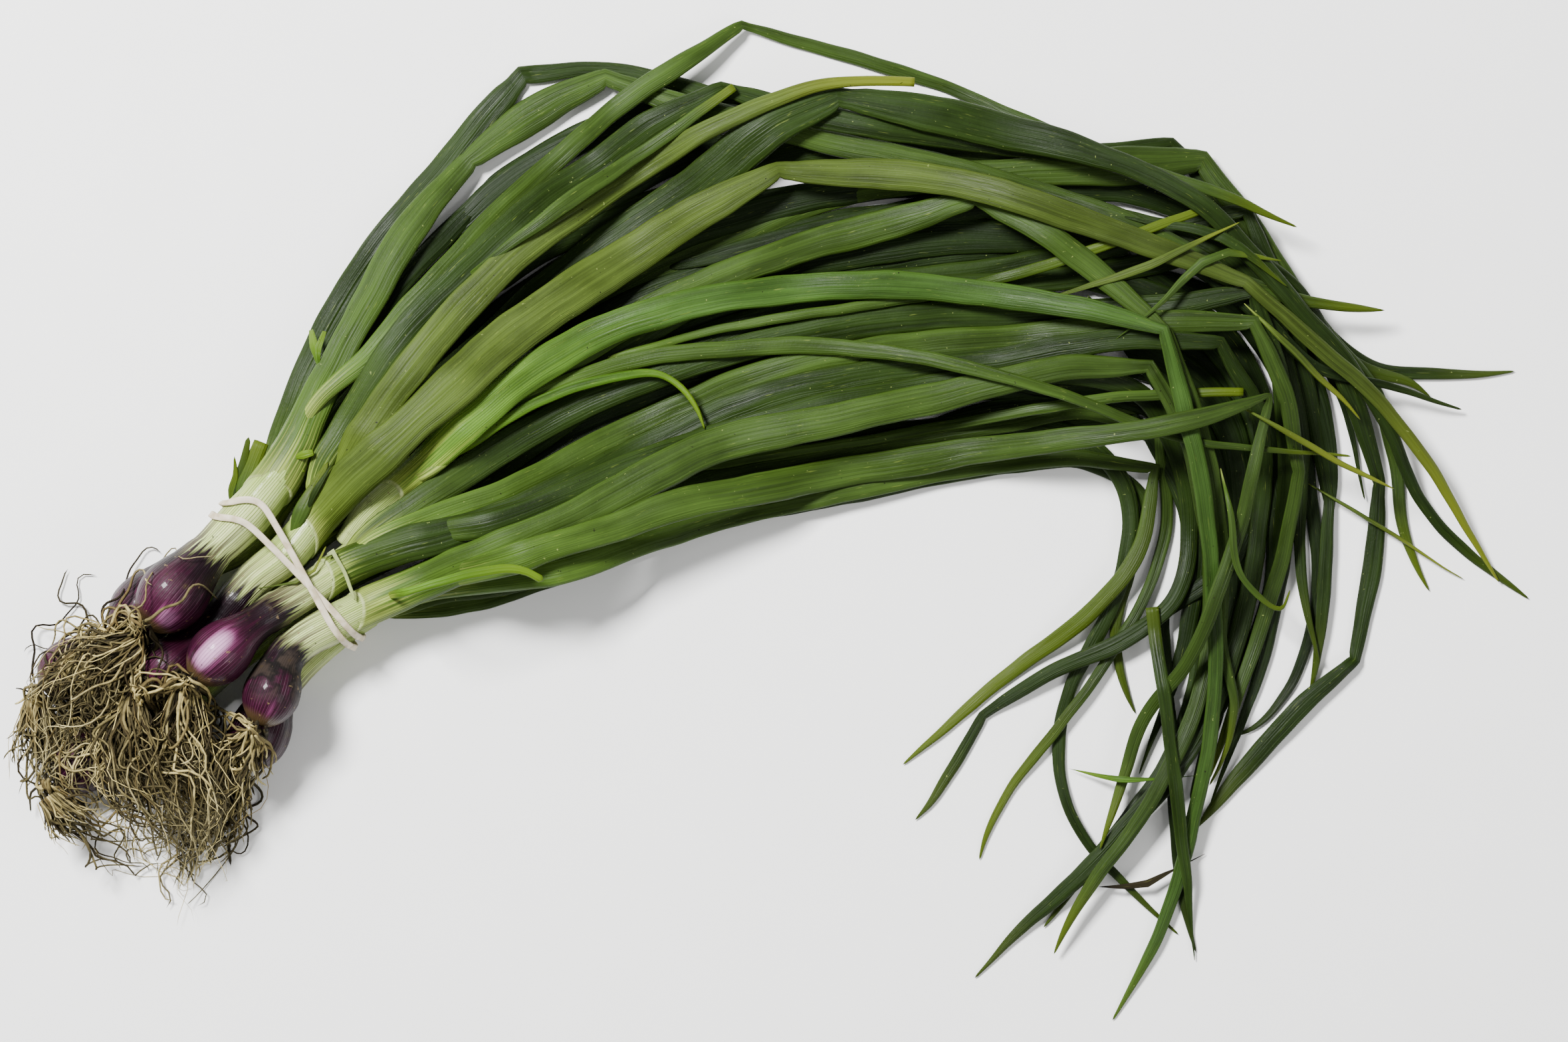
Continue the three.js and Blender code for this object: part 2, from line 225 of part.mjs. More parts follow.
// The route is a smooth curve from crease to crease, with close sections on
// both sides of every crease.
function routeStations(waypoints, step) {
  const stations = [];
  let start = 0;
  const push = (x, y, width) => stations.push({ centre: new THREE.Vector3(x, y, 0), width });
  for (let i = 1; i < waypoints.length; i += 1) {
    const last = i === waypoints.length - 1;
    if (!last && waypoints[i][3] !== K) continue;
    const run = waypoints.slice(start, i + 1);
    const curve = new THREE.CatmullRomCurve3(run.map(([x, y]) => new THREE.Vector3(x, y, 0)), false, "centripetal");
    const widths = new THREE.CatmullRomCurve3(run.map(([, , width], j) => new THREE.Vector3(j, width, 0)), false, "centripetal");
    const length = curve.getLength();
    const from = start === 0 ? 0 : CREASE;
    const to = last ? length : length - CREASE;
    const count = Math.max(1, Math.round((to - from) / step));
    const places = start === 0 ? [] : [0];
    for (let j = 0; j <= count; j += 1) places.push(from + ((to - from) * j) / count);
    if (last && length - to < 1e-6 && places.length > 2) places.splice(places.length - 1, 0, length - 5);
    for (const place of places) {
      const t = THREE.MathUtils.clamp(curve.getUtoTmapping(THREE.MathUtils.clamp(place / length, 0, 1)), 0, 1);
      const at = curve.getPoint(t);
      const f = t * (run.length - 1);
      const j = Math.min(run.length - 2, Math.floor(f));
      const width = THREE.MathUtils.lerp(run[j][2], run[j + 1][2], f - j);
      push(at.x, at.y, start !== 0 && place === 0 ? run[0][2] : width);
    }
    start = i;
  }
  stations.forEach((station, i) => {
    const before = stations[Math.max(0, i - 1)].centre;
    const after = stations[Math.min(stations.length - 1, i + 1)].centre;
    const into = station.centre.clone().sub(before).normalize();
    const out = after.clone().sub(station.centre).normalize();
    const along = into.add(out).normalize();
    station.side = new THREE.Vector3().crossVectors(along, UP).normalize();
    station.up = UP.clone();
    station.halfWidth = station.width / 2;
    station.halfHeight = thicknessOf(station.width) / 2;
  });
  return stations;
}

// Samples of the strip between two sections: where, and how far round.
function* strip(a, b) {
  const steps = Math.max(1, Math.ceil(a.centre.distanceTo(b.centre) / 0.7));
  for (let i = 0; i <= steps; i += 1) {
    const t = i / steps;
    const halfWidth = THREE.MathUtils.lerp(a.halfWidth, b.halfWidth, t);
    const halfHeight = THREE.MathUtils.lerp(a.halfHeight, b.halfHeight, t);
    const count = Math.max(3, Math.ceil(halfWidth / 0.4));
    for (let j = -count; j <= count; j += 1) {
      const u = j / count;
      const ax = a.centre.x + a.side.x * u * a.halfWidth;
      const ay = a.centre.y + a.side.y * u * a.halfWidth;
      const bx = b.centre.x + b.side.x * u * b.halfWidth;
      const by = b.centre.y + b.side.y * u * b.halfWidth;
      yield { t, x: ax + (bx - ax) * t, y: ay + (by - ay) * t, round: halfHeight * Math.sqrt(Math.max(0, 1 - u * u)) };
    }
  }
}

// Lays a piece on everything below it: its own shank only holds it up past the
// first few millimetres, and from its held end it hangs in a slow curve.
function lay(stations, maps, ownMap, heldAt, free, droop) {
  const along = [0];
  for (let i = 1; i < stations.length; i += 1) along.push(along[i - 1] + stations[i].centre.distanceTo(stations[i - 1].centre));
  const needs = [];
  for (let i = 1; i < stations.length; i += 1) {
    const needed = new Map();
    for (const { t, x, y, round } of strip(stations[i - 1], stations[i])) {
      const s = along[i - 1] + t * (along[i] - along[i - 1]);
      let floor = 0;
      for (const map of maps) if (map !== ownMap || s > free) floor = Math.max(floor, map.read(x, y));
      const height = (floor > 0 ? floor + GAP : 0) + round;
      needed.set(t, Math.max(needed.get(t) ?? 0, height));
    }
    needs.push([...needed].map(([t, height]) => ({ t, s: along[i - 1] + t * (along[i] - along[i - 1]), height })));
  }
  const every = needs.flat();
  stations.forEach((station, i) => {
    let z = heldAt - droop.hang * along[i] * along[i];
    for (const { s, height } of every) z = Math.max(z, height - droop.sag * (s - along[i]) ** 2);
    station.centre.z = z;
  });
  for (let pass = 0; pass < 2; pass += 1) {
    needs.forEach((samples, i) => {
      const a = stations[i].centre;
      const b = stations[i + 1].centre;
      const short = Math.max(0, ...samples.map(({ t, height }) => height - THREE.MathUtils.lerp(a.z, b.z, t)));
      a.z += short;
      b.z += short;
    });
  }
  for (let i = 1; i < stations.length; i += 1) {
    const a = stations[i - 1];
    const b = stations[i];
    for (const { t, x, y, round } of strip(a, b)) laid.raise(x, y, THREE.MathUtils.lerp(a.centre.z, b.centre.z, t) + round);
  }
  return stations;
}

// ------------------------------------------------------------------ the bunch
const bunch = new THREE.Group();
bunch.name = "bunch";

const shankEnds = {};
const stationsOf = {};
for (const [letter, waypoints] of [...Object.entries(ONIONS), ["k", INNER_STALK]]) {
  let stations;
  if (letter === "k") {
    const curve = new THREE.CatmullRomCurve3(waypoints.map(([x, y, z]) => new THREE.Vector3(x, y, z)), false, "centripetal");
    stations = waypoints.map(([, , , radius], i) => {
      const t = i / (waypoints.length - 1);
      const centre = curve.getPoint(t);
      const side = new THREE.Vector3().crossVectors(curve.getTangent(t), UP).normalize();
      const up = new THREE.Vector3().crossVectors(side, curve.getTangent(t)).normalize();
      return { centre, side, up, halfWidth: radius, halfHeight: radius * 0.8 };
    });
  } else {
    stations = onionStations(waypoints);
  }
  stationsOf[letter] = stations;
  shankEnds[letter] = stations.at(-1).centre;
  onionMaps[letter] = new HeightMap();
  raiseRound(onionMaps[letter], stations);
  const name = letter === "k" ? "onion_b_inner_stalk" : `onion_${letter}_bulb_and_shank`;
  bunch.add(piece(name, loft(stations, letter === "k" ? 8 : ONION_SIDES), letter === "k" ? LOOKS.stalk : LOOKS.bulb));
}

const LOWER = ["e", "f", "g", "h"];
const leafCount = {};
const leavesOf = (letter) => [...UNDER_LEAVES, ...OVER_LEAVES].filter(([owner]) => owner === letter).length;
function layLeaves(rows, letters) {
  for (const [letter, ...route] of rows) {
    const rank = leafCount[letter] ?? 0;
    leafCount[letter] = rank + 1;
    const stations = routeStations(route, LEAF_STEP);
    const rooted = route[0][0] < -100;
    const maps = [laid, ...letters.map((other) => onionMaps[other])];
    const heldAt = rooted ? shankEnds[letter].z + (rank - (leavesOf(letter) - 1) / 2) * 3 : 0;
    lay(stations, maps, onionMaps[letter], heldAt, 6, LEAF_DROOP);
    const owner = letter === "k" ? "b_inner" : letter;
    bunch.add(piece(`onion_${owner}_leaf_${rank + 1}`, loft(stations, LEAF_SIDES), rooted ? LOOKS.leaf : LOOKS.young));
  }
}
layLeaves(UNDER_LEAVES, LOWER);
layLeaves(OVER_LEAVES, [...LOWER, "b", "a", "c", "d", "k"]);

for (const [letter, ...route] of ROOTS) {
  const stations = routeStations(route, 13);
  stations.forEach((station) => { station.halfHeight = Math.min(4, 1.2 + 0.16 * station.width); });
  lay(stations, [laid, ...Object.values(onionMaps)], onionMaps[letter], ONIONS[letter][0][2], 0.5, ROOT_DROOP);
  bunch.add(piece(`onion_${letter}_roots`, loft(stations, 8), LOOKS.roots));
}

// ------------------------------------------------------------ the elastic band
// Each turn follows the outside of the shanks: for every direction round the
// bunch, the shank that reaches furthest carries the band.
function shankSection(along) {
  const discs = [];
  for (const letter of Object.keys(ONIONS)) {
    const stations = stationsOf[letter];
    for (let i = stations.length - 1; i > 0; i -= 1) {
      const a = stations[i - 1];
      const b = stations[i];
      const from = a.centre.clone().sub(BAND_CENTRE).dot(BAND_AXIS);
      const to = b.centre.clone().sub(BAND_CENTRE).dot(BAND_AXIS);
      const past = i === stations.length - 1 && along > to;
      if ((from <= along && along <= to) || past) {
        const t = past ? 1 : (along - from) / (to - from);
        const centre = a.centre.clone().lerp(b.centre, t);
        discs.push({ centre, radius: THREE.MathUtils.lerp(a.halfWidth, b.halfWidth, t) * 1.05 });
        break;
      }
    }
  }
  return discs;
}

function lookUp(table, across) {
  let i = 1;
  while (i < table.length - 1 && table[i][0] < across) i += 1;
  const [x0, y0] = table[i - 1];
  const [x1, y1] = table[i];
  return THREE.MathUtils.lerp(y0, y1, THREE.MathUtils.smoothstep(across, x0, x1));
}

function bandGeometry() {
  const across = new THREE.Vector3().crossVectors(BAND_AXIS, UP).normalize();
  const points = [];
  const half = BAND.stations / 2;
  for (let i = 0; i < BAND.stations; i += 1) {
    const turn = i < half ? 0 : 1;
    const angle = Math.PI - ((i % half) / half) * 2 * Math.PI;
    const out = across.clone().multiplyScalar(Math.cos(angle)).addScaledVector(UP, Math.sin(angle));
    const top = Math.sin(angle) >= -0.02;
    let along = 0;
    let point = null;
    for (let pass = 0; pass < 4; pass += 1) {
      const discs = shankSection(along);
      const reach = (disc) => disc.centre.clone().sub(BAND_CENTRE).dot(out) + disc.radius;
      const best = discs.reduce((a, b) => (reach(b) > reach(a) ? b : a));
      const extra = BAND.clearance + BAND.thickness / 2 + (turn === 0 && Math.cos(angle) > -0.2 && top ? 1.25 * THREE.MathUtils.smoothstep(Math.cos(angle), -0.2, 0.3) : 0);
      point = best.centre.clone().addScaledVector(out, best.radius + extra);
      const t = point.clone().sub(BAND_CENTRE).dot(across);
      if (top) along = lookUp(turn === 0 ? TURN_ONE : TURN_TWO, t);
      else {
        const right = turn === 0 ? -2.6 : 1.4;
        const left = turn === 0 ? -3 : 2;
        along = THREE.MathUtils.lerp(right, left, THREE.MathUtils.clamp((30 - t) / 60, 0, 1));
      }
      point.addScaledVector(BAND_AXIS, along - point.clone().sub(BAND_CENTRE).dot(BAND_AXIS));
    }
    points.push(point);
  }
  const path = new THREE.CatmullRomCurve3(points, true, "centripetal");
  const count = 110;
  const torus = new THREE.TorusGeometry(10, 1, 6, count);
  const position = torus.getAttribute("position");
  for (let j = 0; j <= 6; j += 1) {
    for (let i = 0; i <= count; i += 1) {
      const t = (i % count) / count;
      const centre = path.getPointAt(t);
      const tangent = path.getTangentAt(t);
      const axial = BAND_AXIS.clone().addScaledVector(tangent, -tangent.dot(BAND_AXIS)).normalize();
      const radial = new THREE.Vector3().crossVectors(tangent, axial).normalize();
      const turnAngle = (j / 6) * Math.PI * 2;
      centre.addScaledVector(radial, (Math.cos(turnAngle) * BAND.thickness) / 2);
      centre.addScaledVector(axial, (Math.sin(turnAngle) * BAND.width) / 2);
      position.setXYZ(j * (count + 1) + i, centre.x, centre.y, centre.z);
    }
  }
  return torus;
}
bunch.add(piece("elastic_band", bandGeometry(), LOOKS.elastic));

// ------------------------------------------------------------------ placement
// The row stands on the middle of the bunch's box, at the surface it lies on.
const box = new THREE.Box3().setFromObject(bunch);
const middle = box.getCenter(new THREE.Vector3());
bunch.position.set(-middle.x, -middle.y, -box.min.z);
bunch.updateMatrixWorld(true);
const group = new THREE.Group();
group.name = "spring_onion_bunch";
group.add(bunch);

export default group;
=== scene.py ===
"""Finished look of a tied bunch of red spring onions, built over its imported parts.

Every piece is made in the row frame, in metres, with its place in its own mesh. Names that end
in _mm are in millimetres. A leaf, shank, bulb, root tuft or band is read from its CAD node as a
spine (centres, directions and half sizes) and rebuilt finely round that spine.
"""

import json
import logging
import math
import zlib
from dataclasses import dataclass
from enum import Enum
from typing import Callable, Optional, Sequence, Union

import bmesh
import bpy
import numpy as np
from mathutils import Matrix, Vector
from mathutils.bvhtree import BVHTree

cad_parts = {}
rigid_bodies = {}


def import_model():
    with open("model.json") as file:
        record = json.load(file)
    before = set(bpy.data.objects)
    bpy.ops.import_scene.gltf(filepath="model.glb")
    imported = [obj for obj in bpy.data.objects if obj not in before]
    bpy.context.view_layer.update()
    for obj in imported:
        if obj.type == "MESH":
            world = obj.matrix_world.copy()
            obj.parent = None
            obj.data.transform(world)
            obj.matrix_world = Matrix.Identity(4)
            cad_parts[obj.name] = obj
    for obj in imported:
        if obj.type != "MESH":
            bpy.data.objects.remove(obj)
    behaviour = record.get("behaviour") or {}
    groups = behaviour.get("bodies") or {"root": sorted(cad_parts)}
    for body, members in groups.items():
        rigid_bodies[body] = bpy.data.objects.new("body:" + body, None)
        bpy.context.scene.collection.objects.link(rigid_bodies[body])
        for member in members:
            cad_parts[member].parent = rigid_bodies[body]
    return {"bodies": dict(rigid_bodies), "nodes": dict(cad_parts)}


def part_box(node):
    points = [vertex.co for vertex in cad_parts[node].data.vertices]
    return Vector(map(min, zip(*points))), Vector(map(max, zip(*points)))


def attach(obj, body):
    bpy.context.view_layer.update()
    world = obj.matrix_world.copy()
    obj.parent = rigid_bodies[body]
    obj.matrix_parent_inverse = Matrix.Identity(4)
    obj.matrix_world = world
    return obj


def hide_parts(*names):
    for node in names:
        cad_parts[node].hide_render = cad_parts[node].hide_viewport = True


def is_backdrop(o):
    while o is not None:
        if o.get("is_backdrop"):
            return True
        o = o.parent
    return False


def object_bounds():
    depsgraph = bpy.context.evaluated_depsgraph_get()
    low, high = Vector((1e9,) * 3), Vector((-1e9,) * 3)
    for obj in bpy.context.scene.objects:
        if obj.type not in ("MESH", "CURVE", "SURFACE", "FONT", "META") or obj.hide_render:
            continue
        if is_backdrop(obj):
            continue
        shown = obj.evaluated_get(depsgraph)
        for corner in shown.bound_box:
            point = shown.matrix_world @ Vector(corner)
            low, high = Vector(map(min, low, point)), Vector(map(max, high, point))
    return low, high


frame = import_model()
CAD_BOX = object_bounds()

logging.basicConfig(level=logging.INFO, format="%(name)s: %(message)s")
LOG = logging.getLogger("spring_onions")

MM = 0.001
BODY = next(iter(frame["bodies"]))
FLOOR_GAP = 0.1 * MM
WELD_GAP = 1e-5

# A ring whose spokes differ by less than this share of their length is read as round.
ROUND_SLACK = 0.03

# How many sides the CAD solids have.
LEAF_SIDES, BULB_SIDES, THIN_SIDES = 6, 12, 8

# Three stations this close together stand for one corner, within these turns. The corner lies
# within its travel of the first station, and its mitre and its two legs are no longer than this.
CORNER_GAP = 5 * MM
LEAST_CORNER_SINE, LEAST_CORNER_COSINE = 0.26, -0.4
CORNER_TRAVEL = (0.5 * MM, 7 * MM)
SHARPEST_MITRE = 0.72
CORNER_LEG = (2.2 * MM, 8 * MM)

# A leaf's mesh, its folds, and where its base lies against the end of its shank.
LEAF_STEP, LEAF_COLUMNS = 2.4 * MM, 24
FOLD_ANGLE, FOLD_SPACING = 0.42, 12 * MM
FOLD_REACH, CREASE_REACH = 4.5 * MM, 1.1 * MM
LEAF_OVERLAP, SHEATH_OVERLAP = 5 * MM, 13 * MM
NEAR_SHANK, HIGH_BASE = 24 * MM, 9 * MM

# The rounded end of a shank: how far each ring lies past the last one.
DOME_MM = (0.9, 2.0, 2.6, 2.8)

# A root fibre's mesh, and how far the fibres may go past the CAD box.
ROOT_SIDES = 4
ROOT_ROOM = 8.5 * MM

Colour = tuple[float, float, float, float]


def rgb(code: str) -> Colour:
    """The linear colour of a code.

    Args:
        code: Six hexadecimal digits, as sRGB.

    Returns:
        Linear red, green, blue and an alpha of one.
    """
    parts = [int(code[i : i + 2], 16) / 255 for i in (0, 2, 4)]
    linear = [c / 12.92 if c <= 0.04045 else ((c + 0.055) / 1.055) ** 2.4 for c in parts]
    return (linear[0], linear[1], linear[2], 1.0)


def seeded(name: str) -> np.random.Generator:
    """A random generator that depends on the name alone."""
    return np.random.default_rng(zlib.crc32(name.encode()))


def unit(vectors: np.ndarray) -> np.ndarray:
    """The vectors, each scaled to length one."""
    return vectors / np.maximum(np.linalg.norm(vectors, axis=-1, keepdims=True), 1e-12)


def smooth_step(x: np.ndarray, low: float, high: float) -> np.ndarray:
    """0 below low, 1 above high, and a smooth rise between."""
    t = np.clip((x - low) / (high - low), 0, 1)
    return t * t * (3 - 2 * t)


def drift(rng: np.random.Generator, s: np.ndarray, wave: float, size: float) -> np.ndarray:
    """A smooth wandering value along s.

    Args:
        rng: The source of the phases.
        s: Distances along the piece.
        wave: The mean wavelength, in the units of s.
        size: The largest value, roughly.

    Returns:
        One value for each distance.
    """
    total = np.zeros_like(s)
    for weight, stretch in ((0.55, 1.0), (0.3, 0.53), (0.15, 0.27)):
        length = wave * stretch * rng.uniform(0.8, 1.25)
        total += weight * np.sin(2 * math.pi * (s / length + rng.uniform()))
    return total * size


def eased(
    a: np.ndarray, leave: np.ndarray, b: np.ndarray, arrive: np.ndarray, t: Union[float, np.ndarray]
) -> np.ndarray:
    """A smooth cubic course from one value to another.

    Args:
        a: The value at the start.
        leave: Its rate of change there.
        b: The value at the end.
        arrive: Its rate of change there.
        t: The share of the way, from 0 to 1.

    Returns:
        The value at that share.
    """
    return (
        a * (1 + 2 * t) * (1 - t) ** 2
        + leave * t * (1 - t) ** 2
        + b * t * t * (3 - 2 * t)
        + arrive * t * t * (t - 1)
    )


def waves(rng: np.random.Generator, turn: np.ndarray, *parts: tuple[int, float]) -> np.ndarray:
    """Cosines added up round a section, each with its number of crests and its size."""
    return sum(size * np.cos(crests * turn + rng.uniform(0, 6)) for crests, size in parts)


def once_round(columns: int) -> np.ndarray:
    """Angles once round a section, from its underside, in radians."""
    return np.linspace(0, 2 * math.pi, columns + 1) - math.pi / 2


def padded(rows: np.ndarray, before: int, after: int) -> np.ndarray:
    """The rows with the first and the last one repeated."""
    return np.concatenate([rows[:1]] * before + [rows] + [rows[-1:]] * after)


def welded(node: str) -> bmesh.types.BMesh:
    """A copy of a CAD node's mesh with its doubles merged.

    Args:
        node: The node's name.

    Returns:
        The copy, which the caller frees.
    """
    mesh = bmesh.new()
    mesh.from_mesh(frame["nodes"][node].data)
    bmesh.ops.remove_doubles(mesh, verts=mesh.verts, dist=WELD_GAP)
    return mesh


BOX_LOW, BOX_HIGH = np.array(CAD_BOX[0], float), np.array(CAD_BOX[1], float)

# The middle of the band, and the way the shanks run through it.
TIE = np.array(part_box("elastic_band"), float).mean(0)
AXIS = unit(np.array([0.74, 0.67, 0.0]))


# ---------------------------------------------------------------- spines


@dataclass
class Spine:
    """The course of one long piece: stations with a centre, two directions and two half sizes."""

    centre: np.ndarray
    side: np.ndarray
    up: np.ndarray
    half_width: np.ndarray
    half_height: np.ndarray

    @property
    def reach(self) -> np.ndarray:
        """The distance of each station from the first."""
        steps = np.linalg.norm(np.diff(self.centre, axis=0), axis=1)
        return np.concatenate([[0.0], np.cumsum(steps)])

    def packed(self) -> np.ndarray:
        """All the stations as rows of eleven numbers."""
        sizes = [self.half_width[:, None], self.half_height[:, None]]
        return np.concatenate([self.centre, self.side, self.up, *sizes], axis=1)

    @staticmethod
    def unpacked(rows: np.ndarray) -> "Spine":
        """The spine whose packed rows these are, with its directions made unit length."""
        return Spine(rows[:, :3], unit(rows[:, 3:6]), unit(rows[:, 6:9]), rows[:, 9], rows[:, 10])

    def creased(self) -> tuple["Spine", list[int]]:
        """The same course with each close set of three stations sharpened to one corner.

        Returns:
            The new spine, and which of its stations are corners.
        """
        rows, s = self.packed(), self.reach
        out, corners, i = [rows[0], rows[1]], [], 2
        while i < len(rows) - 3:
            tight = max(s[i + 1] - s[i], s[i + 2] - s[i + 1]) < CORNER_GAP
            a, b = rows[i, :2], rows[i + 2, :2]
            before, after = unit(a - rows[i - 1, :2]), unit(rows[i + 3, :2] - b)
            sine = before[0] * after[1] - before[1] * after[0]
            slight = abs(sine) < LEAST_CORNER_SINE
            if not tight or slight or before @ after < LEAST_CORNER_COSINE:
                out.append(rows[i])
                i += 1
                continue
            travel = ((b - a)[0] * after[1] - (b - a)[1] * after[0]) / sine
            place = a + before * np.clip(travel, *CORNER_TRAVEL)
            half = 0.5 * math.atan2(abs(sine), before @ after)
            corner = rows[i + 1].copy()
            corner[:2] = place
            mitre = unit(np.array([-(before + after)[1], (before + after)[0], 0.0]))
            corner[3:6] = mitre if mitre @ rows[i, 3:6] > 0 else -mitre
            corner[9] = rows[i + 1, 9] / max(SHARPEST_MITRE, math.cos(half))
            back = np.clip(rows[i, 9] * math.tan(half), *CORNER_LEG)
            for near, course in ((rows[i], -before), (rows[i + 2], after)):
                leg = near.copy()
                leg[:2] = place + course * back
                out.append(leg)
            corners.append(len(out) - 1)
            out.insert(len(out) - 1, corner)
            i += 3
        out.extend(rows[i:])
        return Spine.unpacked(np.array(out)), corners

    def finer(self, step: float, corners: Sequence[int] = ()) -> "Spine":
        """The same course with stations at most a step apart, every old one kept.

        Args:
            step: The largest gap, in metres.
            corners: Stations where the course turns sharply.

        Returns:
            A spine that runs smoothly through the old stations.
        """
        rows, s = self.packed(), self.reach
        gaps = np.maximum(np.diff(s), 1e-9)
        slopes = np.diff(rows, axis=0) / gaps[:, None]
        lead, lag = gaps[:-1, None], gaps[1:, None]
        inner = (slopes[:-1] * lag + slopes[1:] * lead) / (lead + lag)
        tangents = np.concatenate([slopes[:1], inner, slopes[-1:]])
        out = [rows[:1]]
        for i, gap in enumerate(gaps):
            count = max(1, math.ceil(gap / step))
            t = (np.arange(1, count + 1) / count)[:, None]
            leave = slopes[i] if i in corners or i - 1 in corners else tangents[i]
            arrive = slopes[i] if i + 1 in corners or i + 2 in corners else tangents[i + 1]
            out.append(eased(rows[i], leave * gap, rows[i + 1], arrive * gap, t))
        return Spine.unpacked(np.concatenate(out))

    def led_by(self, lead: "Spine") -> "Spine":
        """This spine with another one's stations put before it."""
        return Spine.unpacked(np.concatenate([lead.packed(), self.packed()]))

    def directions(self) -> np.ndarray:
        """The direction of travel at each station."""
        return unit(np.gradient(self.centre, axis=0))

    def at(self, share: np.ndarray) -> np.ndarray:
        """The course at other places.

        Args:
            share: Shares of the length; past 1 the course goes straight on.

        Returns:
            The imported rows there, as one more dimension than share has.
        """
        rows, s = self.packed(), self.reach / self.reach[-1]
        flat = np.clip(share, 0, 1).ravel()
        out = np.stack([np.interp(flat, s, rows[:, k]) for k in range(rows.shape[1])], axis=1)
        past = np.maximum(share.ravel() - 1, 0) * self.reach[-1]
        out[:, :3] += past[:, None] * unit(self.centre[-1] - self.centre[-2])
        return out.reshape(*share.shape, rows.shape[1])


class Cage:
    """The coarse closed tube of one CAD node, read as rings of vertices."""

    def __init__(self, node: str, sides: int) -> None:
        """Takes the node's name and how many sides its rings have."""
        self.sides, self.mesh = sides, welded(node)

    def _caps(self) -> list[bmesh.types.BMVert]:
        """Finds the ends of the tube.

        Returns:
            The two vertices in the middle of the end faces.
        """
        found = []
        for vert in self.mesh.verts:
            around = [edge.other_vert(vert).co for edge in vert.link_edges]
            if len(around) == self.sides:
                if (sum(around, Vector()) / self.sides - vert.co).length < 2 * WELD_GAP:
                    found.append(vert)
        return found

    def rings(self) -> list[np.ndarray]:
        """The rings from one end to the other.

        Returns:
            One array of vertex positions for each ring.
        """
        layer = [self._caps()[0]]
        seen, out = set(layer), []
        while layer:
            following = []
            for vert in layer:
                for edge in vert.link_edges:
                    other = edge.other_vert(vert)
                    if other not in seen:
                        seen.add(other)
                        following.append(other)
            if len(following) == self.sides:
                out.append(np.array([tuple(v.co) for v in following]))
            layer = following
        self.mesh.free()
        return out

    def spine(self, start_near: np.ndarray) -> Spine:
        """The spine through the rings, which starts at the end nearer to a point.

        Args:
            start_near: A point in the row frame.

        Returns:
            The spine, with side and up measured on each ring.
        """
        rings = self.rings()
        ends = [np.linalg.norm(r.mean(0)[:2] - start_near[:2]) for r in (rings[0], rings[-1])]
        if ends[0] > ends[1]:
            rings.reverse()
        centre = np.array([r.mean(0) for r in rings])
        course = unit(np.gradient(centre, axis=0))
        rows, last = [], None
        for ring, middle, ahead in zip(rings, centre, course):
            spokes = ring - middle
            lengths = np.linalg.norm(spokes, axis=1)
            if np.ptp(lengths) < ROUND_SLACK * lengths.max():
                side = unit(np.cross(ahead, (0.0, 0.0, 1.0)))
                up, width, height = np.cross(side, ahead), lengths.mean(), lengths.mean()
            else:
                side = unit(spokes[lengths.argmax()])
                width = lengths.max()
                off = spokes - (spokes @ side)[:, None] * side
                tall = np.linalg.norm(off, axis=1)
                up = unit(off[tall.argmax()])
                height = tall.max() / (math.sqrt(3) / 2 if self.sides == LEAF_SIDES else 1)
                up = up if up[2] >= 0 else -up
                wanted = last if last is not None else np.cross(ahead, (0.0, 0.0, 1.0))
                side = side if side @ wanted >= 0 else -side
            last = side
            rows.append(np.concatenate([middle, side, up, [width, height]]))
        return Spine.unpacked(np.array(rows))


# ---------------------------------------------------------------- meshes


